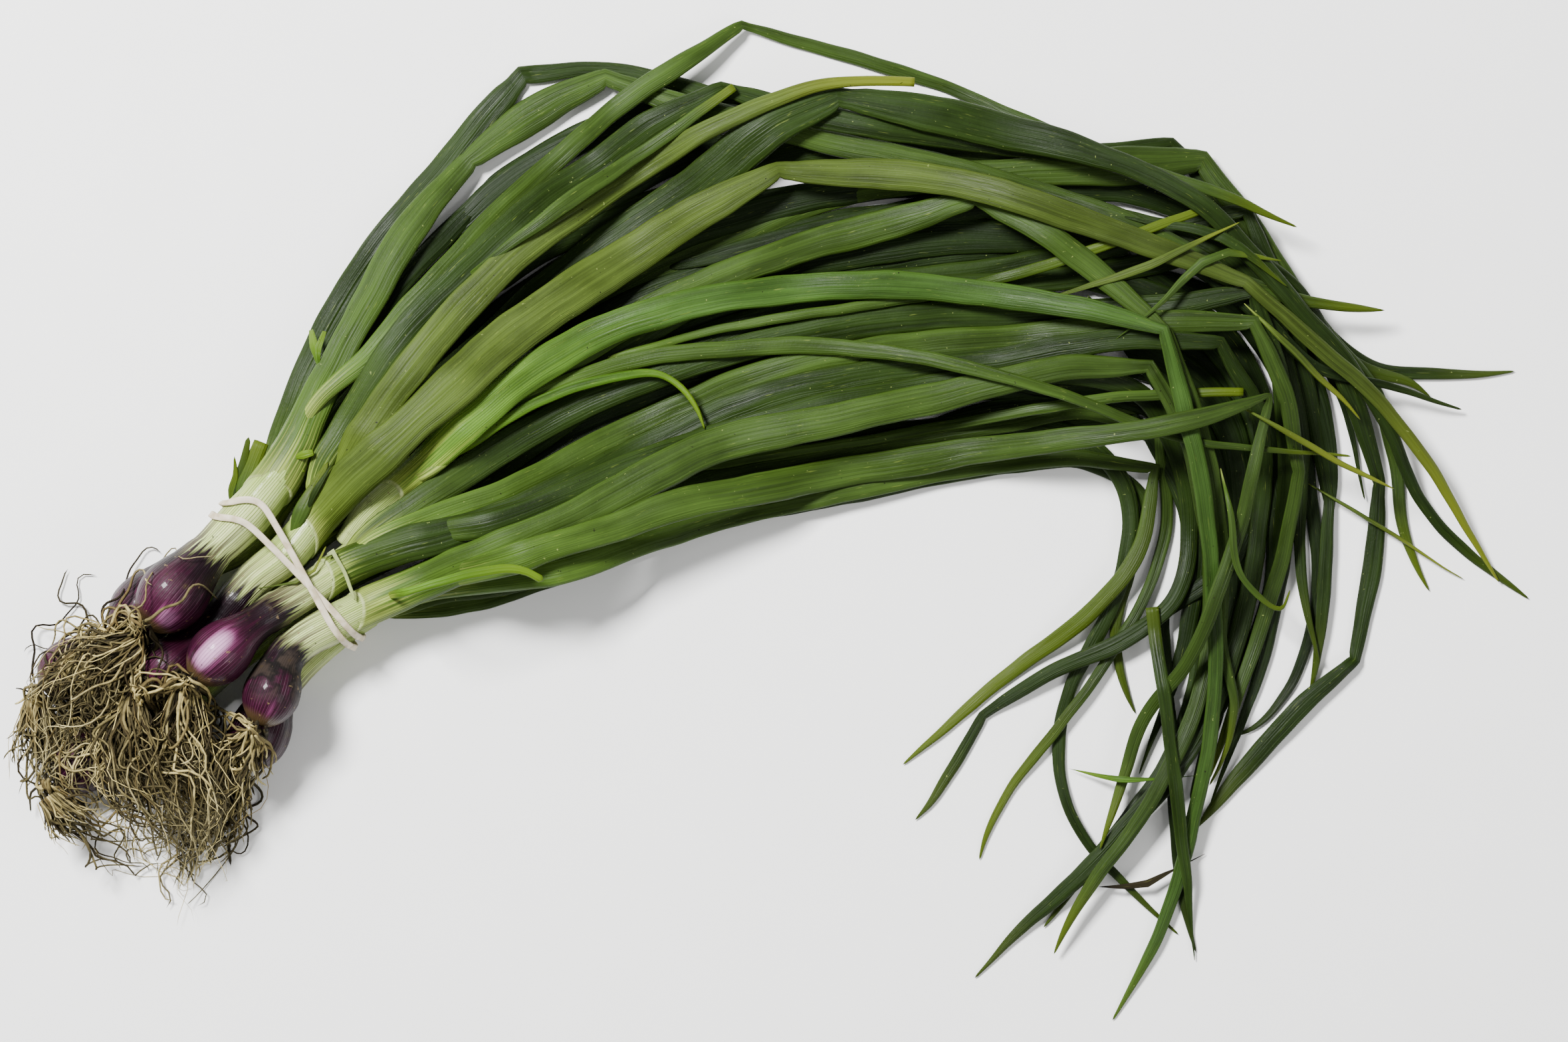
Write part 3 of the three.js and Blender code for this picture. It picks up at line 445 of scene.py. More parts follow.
class Surface:
    """A piece under construction: a sheet of rows and columns of points, bent into its shape."""

    def __init__(self, name: str, points: np.ndarray) -> None:
        """Starts the piece.

        Args:
            name: Its name.
            points: Its points, as (rows, columns, 3).
        """
        self.name, self.points = name, points
        self.values: dict[str, np.ndarray] = {}
        self.row_cuts: list[int] = []

    def paint(self, **values: np.ndarray) -> "Surface":
        """Stores floats to be read by the materials.

        Args:
            values: Under each name, one float for all points, or one for each row or point.

        Returns:
            The same surface.
        """
        for name, value in values.items():
            self.values[name] = np.broadcast_to(value, self.points.shape[:2])
        return self

    def cut_after(self, rows: Sequence[int]) -> "Surface":
        """Separates the sheet after each of these rows."""
        self.row_cuts = list(rows)
        return self

    def _sheet(self) -> bpy.types.Mesh:
        """Lays out the rows and columns.

        Returns:
            A mesh with the points, the painted floats, the uv map and the row of each point.
        """
        rows, columns = self.points.shape[:2]
        sheet = bmesh.new()
        sheet.loops.layers.uv.new("surface")
        bmesh.ops.create_grid(
            sheet, x_segments=columns - 1, y_segments=rows - 1, size=1.0, calc_uvs=True
        )
        mesh = bpy.data.meshes.new(self.name)
        sheet.to_mesh(mesh)
        sheet.free()
        flat = np.zeros(len(mesh.vertices) * 3)
        mesh.vertices.foreach_get("co", flat)
        flat = flat.reshape(-1, 3)
        column = np.rint((flat[:, 0] + 1) / 2 * (columns - 1)).astype(int)
        row = np.rint((flat[:, 1] + 1) / 2 * (rows - 1)).astype(int)
        mesh.vertices.foreach_set("co", self.points[row, column].astype(np.float32).ravel())
        for name, value in self.values.items():
            layer = mesh.attributes.new(name, "FLOAT", "POINT")
            layer.data.foreach_set("value", value[row, column].astype(np.float32))
        layer = mesh.attributes.new("row", "INT", "POINT")
        layer.data.foreach_set("value", row)
        return mesh

    def _close(self, mesh: bpy.types.Mesh) -> None:
        """Makes the cuts, welds seams and poles, and turns the faces outwards.

        Args:
            mesh: The mesh of the sheet.
        """
        body = bmesh.new()
        body.from_mesh(mesh)
        if self.row_cuts:
            index = body.verts.layers.int["row"]
            cuts = set(self.row_cuts)
            loose = [f for f in body.faces if min(v[index] for v in f.verts) in cuts]
            bmesh.ops.delete(body, geom=loose, context="FACES")
        bmesh.ops.remove_doubles(body, verts=body.verts, dist=2e-6)
        bmesh.ops.dissolve_degenerate(body, edges=body.edges, dist=1e-7)
        bmesh.ops.recalc_face_normals(body, faces=body.faces)
        for face in body.faces:
            face.smooth = True
        body.to_mesh(mesh)
        body.free()
        mesh.attributes.remove(mesh.attributes["row"])

    def build(self, slot: str, material: bpy.types.Material, *nodes: str) -> bpy.types.Object:
        """Makes the object.

        Args:
            slot: The record's material slot; not used.
            material: The finish.
            nodes: The CAD nodes that the piece stands for.

        Returns:
            The finished object, riding on the body.
        """
        mesh = self._sheet()
        self._close(mesh)
        mesh.materials.append(material)
        piece = bpy.data.objects.new(self.name, mesh)
        bpy.context.scene.collection.objects.link(piece)
        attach(piece, BODY)
        if nodes:
            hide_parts(*nodes)
        LOG.info("%s: %d faces", self.name, len(mesh.polygons))
        return piece


def swept(
    spine: Spine, across: np.ndarray, above: np.ndarray, spin: Optional[np.ndarray] = None
) -> np.ndarray:
    """Points round a spine from cross sections in its own directions.

    Args:
        spine: The course.
        across: Offsets along side, one row for each station.
        above: Offsets along up, one row for each station.
        spin: The turn of each section about the course, in radians.

    Returns:
        The points, with the shape of across and three coordinates.
    """
    side, up = spine.side, spine.up
    if spin is not None:
        c, s = np.cos(spin)[:, None], np.sin(spin)[:, None]
        side, up = side * c + up * s, up * c - side * s
    return (
        spine.centre[:, None] + across[..., None] * side[:, None] + above[..., None] * up[:, None]
    )


def shrunk_end(points: np.ndarray, scales: Sequence[float], shifts: Sequence[float]) -> np.ndarray:
    """Extra rows that close the last row of a tube, or turn it inwards.

    Args:
        points: Rows of points.
        scales: The size of each new row against the last one; 0 is a pole.
        shifts: How far each new row lies past the last one, in metres.

    Returns:
        The points with the new rows after them.
    """
    last = points[-1]
    middle = last[:-1].mean(0)
    ahead = unit(middle - points[-2][:-1].mean(0))
    extra = [middle + (last - middle) * k + ahead * d for k, d in zip(scales, shifts)]
    return np.concatenate([points, np.array(extra)])


# ---------------------------------------------------------------- shading


class Wire:
    """The output of a shader node, which adds, subtracts, multiplies and divides as numbers do."""

    def __init__(self, tree: "Tree", socket: bpy.types.NodeSocket) -> None:
        """Takes the tree of the node and the node's output."""
        self.tree, self.socket = tree, socket

    def __add__(self, other: "Value") -> "Wire":
        """The sum of the two."""
        return self.tree.math("ADD", self, other)

    def __sub__(self, other: "Value") -> "Wire":
        """This one less the other."""
        return self.tree.math("SUBTRACT", self, other)

    def __rsub__(self, other: "Value") -> "Wire":
        """The other less this one."""
        return self.tree.math("SUBTRACT", other, self)

    def __mul__(self, other: "Value") -> "Wire":
        """The product of the two."""
        return self.tree.math("MULTIPLY", self, other)

    def __truediv__(self, other: "Value") -> "Wire":
        """This one divided by the other."""
        return self.tree.math("DIVIDE", self, other)

    __radd__, __rmul__ = __add__, __mul__

    def rise(self, low: "Value", high: "Value") -> "Wire":
        """A smooth rise from 0 to 1 as this value goes from low to high."""
        inputs = {"Value": self, "From Min": low, "From Max": high}
        return self.tree.wire("ShaderNodeMapRange", inputs, interpolation_type="SMOOTHSTEP")


Value = Union[float, str, Wire]
Wires = dict[str, Wire]


class Tree:
    """Adds nodes to one node tree."""

    def __init__(self, tree: bpy.types.NodeTree) -> None:
        """Takes the node tree that the nodes go in."""
        self.tree = tree

    def put(self, socket: bpy.types.NodeSocket, value: Value) -> None:
        """Sets an input.

        Args:
            socket: The input.
            value: The wire to link to it, or its number, or the six-digit code of its colour.
        """
        if isinstance(value, Wire):
            self.tree.links.new(value.socket, socket)
        else:
            socket.default_value = rgb(value) if isinstance(value, str) else value

    def node(
        self, kind: str, inputs: Optional[dict[Union[int, str], Value]] = None, **settings: object
    ) -> bpy.types.Node:
        """Adds a node.

        Args:
            kind: The type of the node.
            inputs: What its inputs are given, by name or number.
            settings: Its properties.

        Returns:
            The node.
        """
        made = self.tree.nodes.new(kind)
        for key, value in settings.items():
            setattr(made, key, value)
        for key, value in (inputs or {}).items():
            self.put(made.inputs[key], value)
        return made

    def wire(
        self,
        kind: str,
        inputs: Optional[dict[Union[int, str], Value]] = None,
        output: Union[int, str] = 0,
        **settings: object,
    ) -> Wire:
        """Adds a node, and returns the output of this name or number."""
        return Wire(self, self.node(kind, inputs, **settings).outputs[output])

    def math(self, operation: str, *values: Value) -> Wire:
        """The result of one maths node."""
        return self.wire("ShaderNodeMath", dict(enumerate(values)), operation=operation)

    def mix(self, factor: Value, a: Value, b: Value, blend: str = "MIX") -> Wire:
        """A mix of two colours."""
        inputs = {0: factor, 6: a, 7: b}
        return self.wire("ShaderNodeMix", inputs, 2, data_type="RGBA", blend_type=blend)

    def layered(self, base: Value, *layers: tuple[Value, Value]) -> Wire:
        """A base colour with others laid over it.

        Args:
            base: The colour at the bottom.
            layers: How much of each other colour shows, and the colour, from the bottom up.

        Returns:
            The colour at the top.
        """
        for factor, colour in layers:
            base = self.mix(factor, base, colour)
        return base

    def noise(self, vector: Wire, scale: float = 1.0, detail: float = 3.0) -> Wire:
        """Noise from 0 to 1 at the vector."""
        inputs = {"Vector": vector, "Scale": scale, "Detail": detail}
        return self.wire("ShaderNodeTexNoise", inputs)

    def combine(self, *values: Value) -> Wire:
        """A vector from three values."""
        return self.wire("ShaderNodeCombineXYZ", dict(enumerate(values)))

    def attribute(self, name: str) -> Wire:
        """A painted float of the piece."""
        return self.wire("ShaderNodeAttribute", output="Fac", attribute_name=name)

    def around(self) -> Wire:
        """How far round the piece a point lies, from 0 to 1."""
        place = self.wire("ShaderNodeUVMap", uv_map="surface")
        return self.wire("ShaderNodeSeparateXYZ", {0: place})

    def where(self) -> Wire:
        """The object coordinates."""
        return self.wire("ShaderNodeTexCoord", output="Object")

    def use(self, group: bpy.types.NodeTree, **inputs: Value) -> Wires:
        """Adds a shared node group with these inputs, and returns its outputs by name."""
        made = self.node("ShaderNodeGroup", inputs, node_tree=group)
        return {socket.name: Wire(self, socket) for socket in made.outputs}


def shared_group(
    name: str,
    inputs: dict[str, Sequence[str]],
    outputs: dict[str, Sequence[str]],
    fill: Callable[[Tree, Wires], Wires],
) -> bpy.types.NodeTree:
    """A node group that several materials share.

    Args:
        name: The group's name.
        inputs: The names of the inputs, by their type.
        outputs: The names of the outputs, by their type.
        fill: Takes the tree and its inputs, and returns a wire for each output.

    Returns:
        The group.
    """
    group = bpy.data.node_groups.new(name, "ShaderNodeTree")
    for direction, sockets in (("INPUT", inputs), ("OUTPUT", outputs)):
        for kind, keys in sockets.items():
            for key in keys:
                group.interface.new_socket(name=key, in_out=direction, socket_type=kind)
    tree = Tree(group)
    entry = tree.node("NodeGroupInput")
    leaving = tree.node("NodeGroupOutput")
    for key, wire in fill(tree, {s.name: Wire(tree, s) for s in entry.outputs if s.name}).items():
        tree.put(leaving.inputs[key], wire)
    return group


def fill_fibres(t: Tree, i: Wires) -> Wires:
    """Lengthwise plant fibres: fine lines, broad bands, pale scratches and their relief.

    Args:
        t: The group's tree.
        i: Its inputs: the place round and along the piece, the seed and how many fibres lie round.

    Returns:
        The masks and the height of the relief.
    """
    around, along, count, seed = i["Around"], i["Along"], i["Count"], i["Seed"] * 61.0

    def grain(across: Value, stretch: float, shift: Wire, detail: float) -> Wire:
        """Noise that is drawn out along the piece."""
        return t.noise(t.combine(around * across, along * stretch, shift), detail=detail)

    lines = grain(count, 0.012, seed, 4)
    bands = grain(count * 0.2, 0.02, seed + 9.0, 2)
    wave = t.math("SINE", around * count * (2 * math.pi) + bands * 7.0)
    return {
        "Fine": lines.rise(0.36, 0.66),
        "Vein": wave.rise(0.35, 0.98) * lines.rise(0.25, 0.5),
        "Broad": bands.rise(0.3, 0.7),
        "Fleck": grain(count * 1.3, 0.16, seed + 23.0, 2).rise(0.66, 0.78),
        "Blotch": grain(3.0, 0.045, seed, 4).rise(0.35, 0.68),
        "Relief": lines + bands * 0.8,
    }


def fill_leaf(t: Tree, i: Wires) -> Wires:
    """The colour of a leaf: pale at its base, then young green, then its grown colour.

    Args:
        t: The group's tree.
        i: Its inputs: the painted floats of the leaf, the fibre masks and the colours.

    Returns:
        The colour.
    """
    along, fine, vein, broad = i["Along"], i["Fine"], i["Vein"], i["Broad"]
    share = along / i["Reach"] + (fine - 0.5) * 0.22
    veins = (fine * 0.4 + vein * 0.6) * (1 - share.rise(0.3, 1.2))
    colour = t.layered(
        i["Pale"],
        (share.rise(0.0, 0.3), i["Young"]),
        (share.rise(0.25, 1.0), i["Grown"]),
        (veins * 0.75, i["Grown"]),
    )
    shade = 0.5 + broad * 0.5 + fine * 0.34 + i["Blotch"] * 0.36 - vein * 0.14
    colour = t.mix(1.0, colour, shade, "MULTIPLY")
    # Pale flecks, then the leaf's edges lightened towards its young colour as a painted highlight.
    colour = t.layered(colour, (i["Fleck"] * 0.3, "7E8C3C"), (i["Edge"] * 0.3, i["Young"]))
    far = 1 - along.rise(190.0, 340.0) * 0.26
    colour = t.mix(1.0, colour, far, "MULTIPLY")
    ending = 1 - i["ToTip"].rise(0.0, i["TipLength"])
    rim = i["Rim"] * (1 - along.rise(0.2, 1.8)) * (0.15 + broad * 0.6)
    return {"Color": t.layered(colour, (ending * 0.85, i["Tip"]), (rim, "B4BC8A"))}


FLOAT, RGBA = "NodeSocketFloat", "NodeSocketColor"
FIBRE_MASKS = ("Fine", "Vein", "Broad", "Fleck", "Blotch")
LEAF_COLOURS = ("Pale", "Young", "Grown", "Tip")
LEAF_FLOATS = {
    "Along": "along",
    "ToTip": "to_tip",
    "Reach": "green_by",
    "TipLength": "tip_length",
    "Edge": "edge",
    "Rim": "rim",
}
FIBRES = shared_group(
    "plant_fibres",
    {FLOAT: ("Around", "Along", "Seed", "Count")},
    {FLOAT: (*FIBRE_MASKS, "Relief")},
    fill_fibres,
)
LEAF_PAINT = shared_group(
    "leaf_paint",
    {FLOAT: (*LEAF_FLOATS, *FIBRE_MASKS), RGBA: LEAF_COLOURS},
    {RGBA: ("Color",)},
    fill_leaf,
)


class Finish:
    """A material with its tree and its one Principled shader."""

    def __init__(self, name: str, **constants: float) -> None:
        """Makes the material.

        Args:
            name: Its name.
            constants: Inputs of the shader that stay the same all over, with _ for each space.
        """
        self.material = bpy.data.materials.new(name)
        self.material.use_nodes = True
        self.tree = Tree(self.material.node_tree)
        self.shader = self.material.node_tree.nodes["Principled BSDF"]
        for key, value in constants.items():
            self.shader.inputs[key.replace("_", " ")].default_value = value

    def done(
        self, colour: Value, roughness: Value, *relief: Union[Wire, float]
    ) -> bpy.types.Material:
        """Gives the material its surface.

        Args:
            colour: The base colour.
            roughness: The roughness.
            relief: The height, depth in millimetres and strength of its bump, if it has one.

        Returns:
            The material.
        """
        self.tree.put(self.shader.inputs["Base Color"], colour)
        self.tree.put(self.shader.inputs["Roughness"], roughness)
        if relief:
            height, depth_mm, strength = relief
            inputs = {"Height": height, "Distance": depth_mm * MM, "Strength": strength}
            self.tree.put(self.shader.inputs["Normal"], self.tree.wire("ShaderNodeBump", inputs))
        return self.material


@dataclass(frozen=True)
class LeafFinish:
    """The colours of one kind of leaf."""

    pale: str
    young: str
    grown: str
    tip: str
    gloss: float = 0.34

    def material(self, name: str) -> bpy.types.Material:
        """Makes the leaf material with these colours.

        Args:
            name: The material's name.

        Returns:
            The material.
        """
        made = Finish(name, Specular_IOR_Level=0.09)
        t = made.tree
        painted = {key: t.attribute(layer) for key, layer in LEAF_FLOATS.items()}
        fibres = t.use(
            FIBRES,
            Around=t.around(),
            Along=painted["Along"],
            Seed=t.attribute("seed"),
            Count=t.attribute("count"),
        )
        masks = {key: fibres[key] for key in FIBRE_MASKS}
        colours = {key: getattr(self, key.lower()) for key in LEAF_COLOURS}
        paint = t.use(LEAF_PAINT, **painted, **masks, **colours)
        grain = t.noise(t.where(), scale=900.0, detail=2)
        specks = t.noise(t.where(), scale=760.0, detail=2)
        spotted = t.layered(
            paint["Color"],
            (specks.rise(0.73, 0.78) * 0.55, "808C4C"),
            (specks.rise(0.26, 0.23), "151808"),
        )
        rough = self.gloss + fibres["Blotch"] * 0.16
        return made.done(spotted, rough, fibres["Relief"] + grain * 0.15, 0.5, 0.7)


class Tone(Enum):
    """The kinds of leaf in the bunch."""

    DARK = LeafFinish("78883C", "304214", "1B2A0A", "34420E")
    INKY = LeafFinish("64743A", "263812", "131F08", "24320C")
    BLUISH = LeafFinish("84963E", "48661D", "2F4719", "3E5414")
    MID = LeafFinish("849244", "3C541A", "2B3D13", "46540E")
    BRIGHT = LeafFinish("8A983C", "486616", "345012", "526A14")
    OLIVE = LeafFinish("7C883C", "48581C", "384618", "666E1A")
    PALE = LeafFinish("A4AC7C", "98A46C", "8C9A60", "8A985C")
    DRY = LeafFinish("4C4628", "383018", "221E10", "15110A", 0.7)


def purple_skin(t: Tree, thin: Wires, coarse: Wires, dust: Wire, dry: Wire) -> Wire:
    """The colour of the papery skin of a bulb.

    Args:
        t: The material's tree.
        thin: The masks of the thin fibres.
        coarse: The masks of the coarse fibres.
        dust: Noise that shades what is dry.
        dry: How dry and black the skin is.

    Returns:
        The colour, with its veins, its dark collar and its earthy base, and with lighter blotches
        and a pale patch that are partly painted highlight.
    """
    along, past, flush = (t.attribute(name) for name in ("along", "past_skin", "flush"))
    ribbed = thin["Vein"] * coarse["Broad"] * (1 - along.rise(6.0, 24.0))
    collar = (past + coarse["Fine"] * 9.0).rise(-15.0, -3.0)
    # The pale patch of skin doubles as a painted highlight; shine is how much of it shows.
    torn = flush + (thin["Fine"] + coarse["Fine"] - 1.0) * 0.5
    shine = flush * torn.rise(0.1, 0.75)
    shine = shine * (1 - (thin["Vein"] * 0.2 + thin["Fleck"] * 0.5))
    return t.layered(
        "10030A",
        (thin["Broad"], "260616"),
        # Lighter purple blotches: partly the skin's own mottling, partly a painted highlight.
        (coarse["Blotch"] * 0.55, "420F2C"),
        (thin["Fine"] * 0.45, "100308"),
        (ribbed * 0.3, "7A3A60"),
        (coarse["Fleck"] * 0.5, "5E2446"),
        (collar * 0.88, "0E050A"),
        # Pale pink patch of skin with a painted highlight over it.
        (shine, t.mix(flush.rise(0.35, 1.0), "7C3862", "BC8EB0")),
        (1 - along.rise(1.0, 5.0), "4A3A24"),
        (dry, t.mix(dust.rise(0.5, 0.62), "0E0A09", "2A221D")),
    )


def pale_shank(t: Tree, thin: Wires, coarse: Wires) -> Wire:
    """The colour of a shank.

    Args:
        t: The material's tree.
        thin: The masks of the thin fibres.
        coarse: The masks of the coarse fibres.

    Returns:
        The colour, pale with green veins, paler broad bands as a painted highlight, and purple
        streaks near the skin.
    """
    past = t.attribute("past_skin")
    streak = coarse["Fine"].rise(0.3, 0.9) * past.rise(22.0, -2.0)
    return t.layered(
        "B2BC78",
        (past.rise(4.0, 42.0), "78922E"),
        # Paler broad bands along the shank: painted highlight.
        (coarse["Broad"] * 0.35, "C8CE9A"),
        (thin["Fine"] * 0.36, "5E7A20"),
        (thin["Vein"] * 0.68, "4C6816"),
        (streak * 0.9, "2A0E1E"),
    )


def skin_material() -> bpy.types.Material:
    """Papery purple bulb skin that ends raggedly over a pale green-veined shank.

    Returns:
        The material.
    """
    made = Finish(
        "onion_skin_and_shank", Coat_Weight=0.1, Coat_Roughness=0.06, Specular_IOR_Level=0.14
    )
    t = made.tree
    past, seed = t.attribute("past_skin"), t.attribute("seed")
    place = {"Around": t.around(), "Along": t.attribute("along")}
    thin = t.use(FIBRES, **place, Seed=seed, Count=54.0)
    coarse = t.use(FIBRES, **place, Seed=seed + 0.37, Count=26.0)
    dust = t.noise(t.where(), scale=160.0, detail=5)
    crumbs = t.noise(t.where(), scale=430.0, detail=3)
    dry = t.attribute("dry") * dust.rise(0.36, 0.5)
    edge = past + (coarse["Relief"] - 0.9) * 22.0 + (thin["Relief"] - 0.9) * 16.0
    colour = t.layered(
        purple_skin(t, thin, coarse, dust, dry),
        (edge.rise(-3.0, 3.4), pale_shank(t, thin, coarse)),
        (dust.rise(0.64, 0.72) * 0.6, "332818"),
        (crumbs.rise(0.68, 0.72) * 0.7, "6E5C3E"),
        (crumbs.rise(0.3, 0.27) * 0.7, "140E09"),
    )
    rough = 0.3 + coarse["Blotch"] * 0.14 + dry * 0.4
    height = thin["Relief"] + thin["Vein"] * -0.5 + crumbs * 0.7 + edge.rise(-1.5, 0.8) * -0.8
    return made.done(colour, rough, height, 0.45, 0.6)


def root_material() -> bpy.types.Material:
    """Dry tan root fibres with soil on them, painted near black as shade deep in the tangle.

    Returns:
        The material.
    """
    made = Finish("root_fibre", Specular_IOR_Level=0.12)
    t = made.tree
    dust = t.noise(t.where(), scale=420.0, detail=4)
    colour = t.layered(
        "B6A66C",
        (t.attribute("seed").rise(0.2, 1.0), "5A4C2C"),
        (t.attribute("along").rise(0.6, 1.0), "B4A878"),
        (dust.rise(0.45, 0.7) * 0.5, "221A0E"),
        # Painted shade: fibres deep in the tangle are darkened towards near black.
        ((1 - t.attribute("outer")) * 0.94, "0C0805"),
    )
    return made.done(colour, 0.82, dust, 0.25, 0.6)


def band_material() -> bpy.types.Material:
    """Cream rubber with faint cut lines and rubbed dirt.

    Returns:
        The material.
    """
    made = Finish("band_rubber", Specular_IOR_Level=0.35)
    t = made.tree
    dust = t.noise(t.where(), scale=260.0, detail=4)
    cuts = t.noise(t.combine(t.around() * 26.0, t.attribute("along"), 3.0))
    colour = t.layered("CBC0AA", (dust.rise(0.4, 0.72), "A89A7C"), (cuts * 0.25, "93866A"))
    return made.done(colour, 0.46 + dust * 0.2, cuts, 0.12, 0.4)


def floor_material() -> bpy.types.Material:
    """A plain pale board with a barely visible grain.

    Returns:
        The material.
    """
    made = Finish("pale_floor", Specular_IOR_Level=0.15)
    t = made.tree
    grain = t.noise(t.where(), scale=40.0, detail=3)
    return made.done(t.mix(grain, "FBFBFA", "F7F7F5"), 0.85)


# ---------------------------------------------------------------- leaves


@dataclass(frozen=True)
class LeafLook:
    """How one leaf differs from the others.

    Attributes:
        tone: Its colours.
        green_by: How far from its base it is fully green, in millimetres.
        tip: How long its coloured tip is, in millimetres.
        cut: Whether it ends in an open cut instead of a point.
        sheath: Whether its base wraps the end of its shank.
        broader: Its width against the width of its node.
    """

    tone: Tone
    green_by: float = 95.0
    tip: float = 35.0
    cut: bool = False
    sheath: bool = False
    broader: float = 1.12


LEAF_LOOKS: dict[str, LeafLook] = {
    "e_leaf_1": LeafLook(Tone.DARK, 80, 90),
    "h_leaf_1": LeafLook(Tone.MID, 110, 8, cut=True),
    "h_leaf_2": LeafLook(Tone.DARK, 60),
    "h_leaf_3": LeafLook(Tone.DARK, 70),
    "f_leaf_1": LeafLook(Tone.INKY, 80),
    "h_leaf_4": LeafLook(Tone.MID, 60, sheath=True),
    "g_leaf_1": LeafLook(Tone.DARK, 60),
    "g_leaf_2": LeafLook(Tone.DARK, 60),
    "e_leaf_2": LeafLook(Tone.DARK, 70),
    "g_leaf_3": LeafLook(Tone.INKY, 70, sheath=True),
    "f_leaf_2": LeafLook(Tone.DARK, 80, sheath=True),
    "a_leaf_1": LeafLook(Tone.INKY, 70),
    "a_leaf_2": LeafLook(Tone.MID, 90, sheath=True),
    "c_leaf_1": LeafLook(Tone.DARK, 70),
    "c_leaf_2": LeafLook(Tone.MID, 90),
    "d_leaf_1": LeafLook(Tone.DARK, 60),
    "c_leaf_3": LeafLook(Tone.MID, 40, 90, cut=True),
    "a_leaf_3": LeafLook(Tone.MID, 110),
    "b_leaf_1": LeafLook(Tone.DARK, 80),
    "b_leaf_2": LeafLook(Tone.DARK, 60),
    "e_leaf_3": LeafLook(Tone.MID, 90, 80),
    "c_leaf_4": LeafLook(Tone.DARK, 45, sheath=True),
    "c_leaf_5": LeafLook(Tone.DARK, 60),
    "d_leaf_2": LeafLook(Tone.MID, 30, 26, cut=True),
    "d_leaf_3": LeafLook(Tone.MID, 75, sheath=True),
    "b_inner_leaf_1": LeafLook(Tone.MID, 90),
    "b_inner_leaf_2": LeafLook(Tone.MID, 110),
    "b_inner_leaf_3": LeafLook(Tone.BRIGHT, 60),
    "b_inner_leaf_4": LeafLook(Tone.BLUISH, 125, sheath=True),
    "e_leaf_4": LeafLook(Tone.MID, 140, 160),
    "d_leaf_4": LeafLook(Tone.MID, 130),
    "d_leaf_5": LeafLook(Tone.BRIGHT, 70),
    "b_leaf_3": LeafLook(Tone.OLIVE, 50, 60, cut=True),
    "b_leaf_4": LeafLook(Tone.OLIVE, 28, 90, sheath=True),
    "g_leaf_4": LeafLook(Tone.OLIVE, 20, 60, broader=0.8),
    "h_leaf_5": LeafLook(Tone.OLIVE, 20, 30, broader=0.85),
    "b_leaf_5": LeafLook(Tone.OLIVE, 10, 40, broader=0.55),
    "f_leaf_3": LeafLook(Tone.MID, 20, 20, broader=0.85),
}


@dataclass
class Origin:
    """The end of the shank or stalk that a leaf grows from."""

    place: np.ndarray
    course: np.ndarray
    radius: float


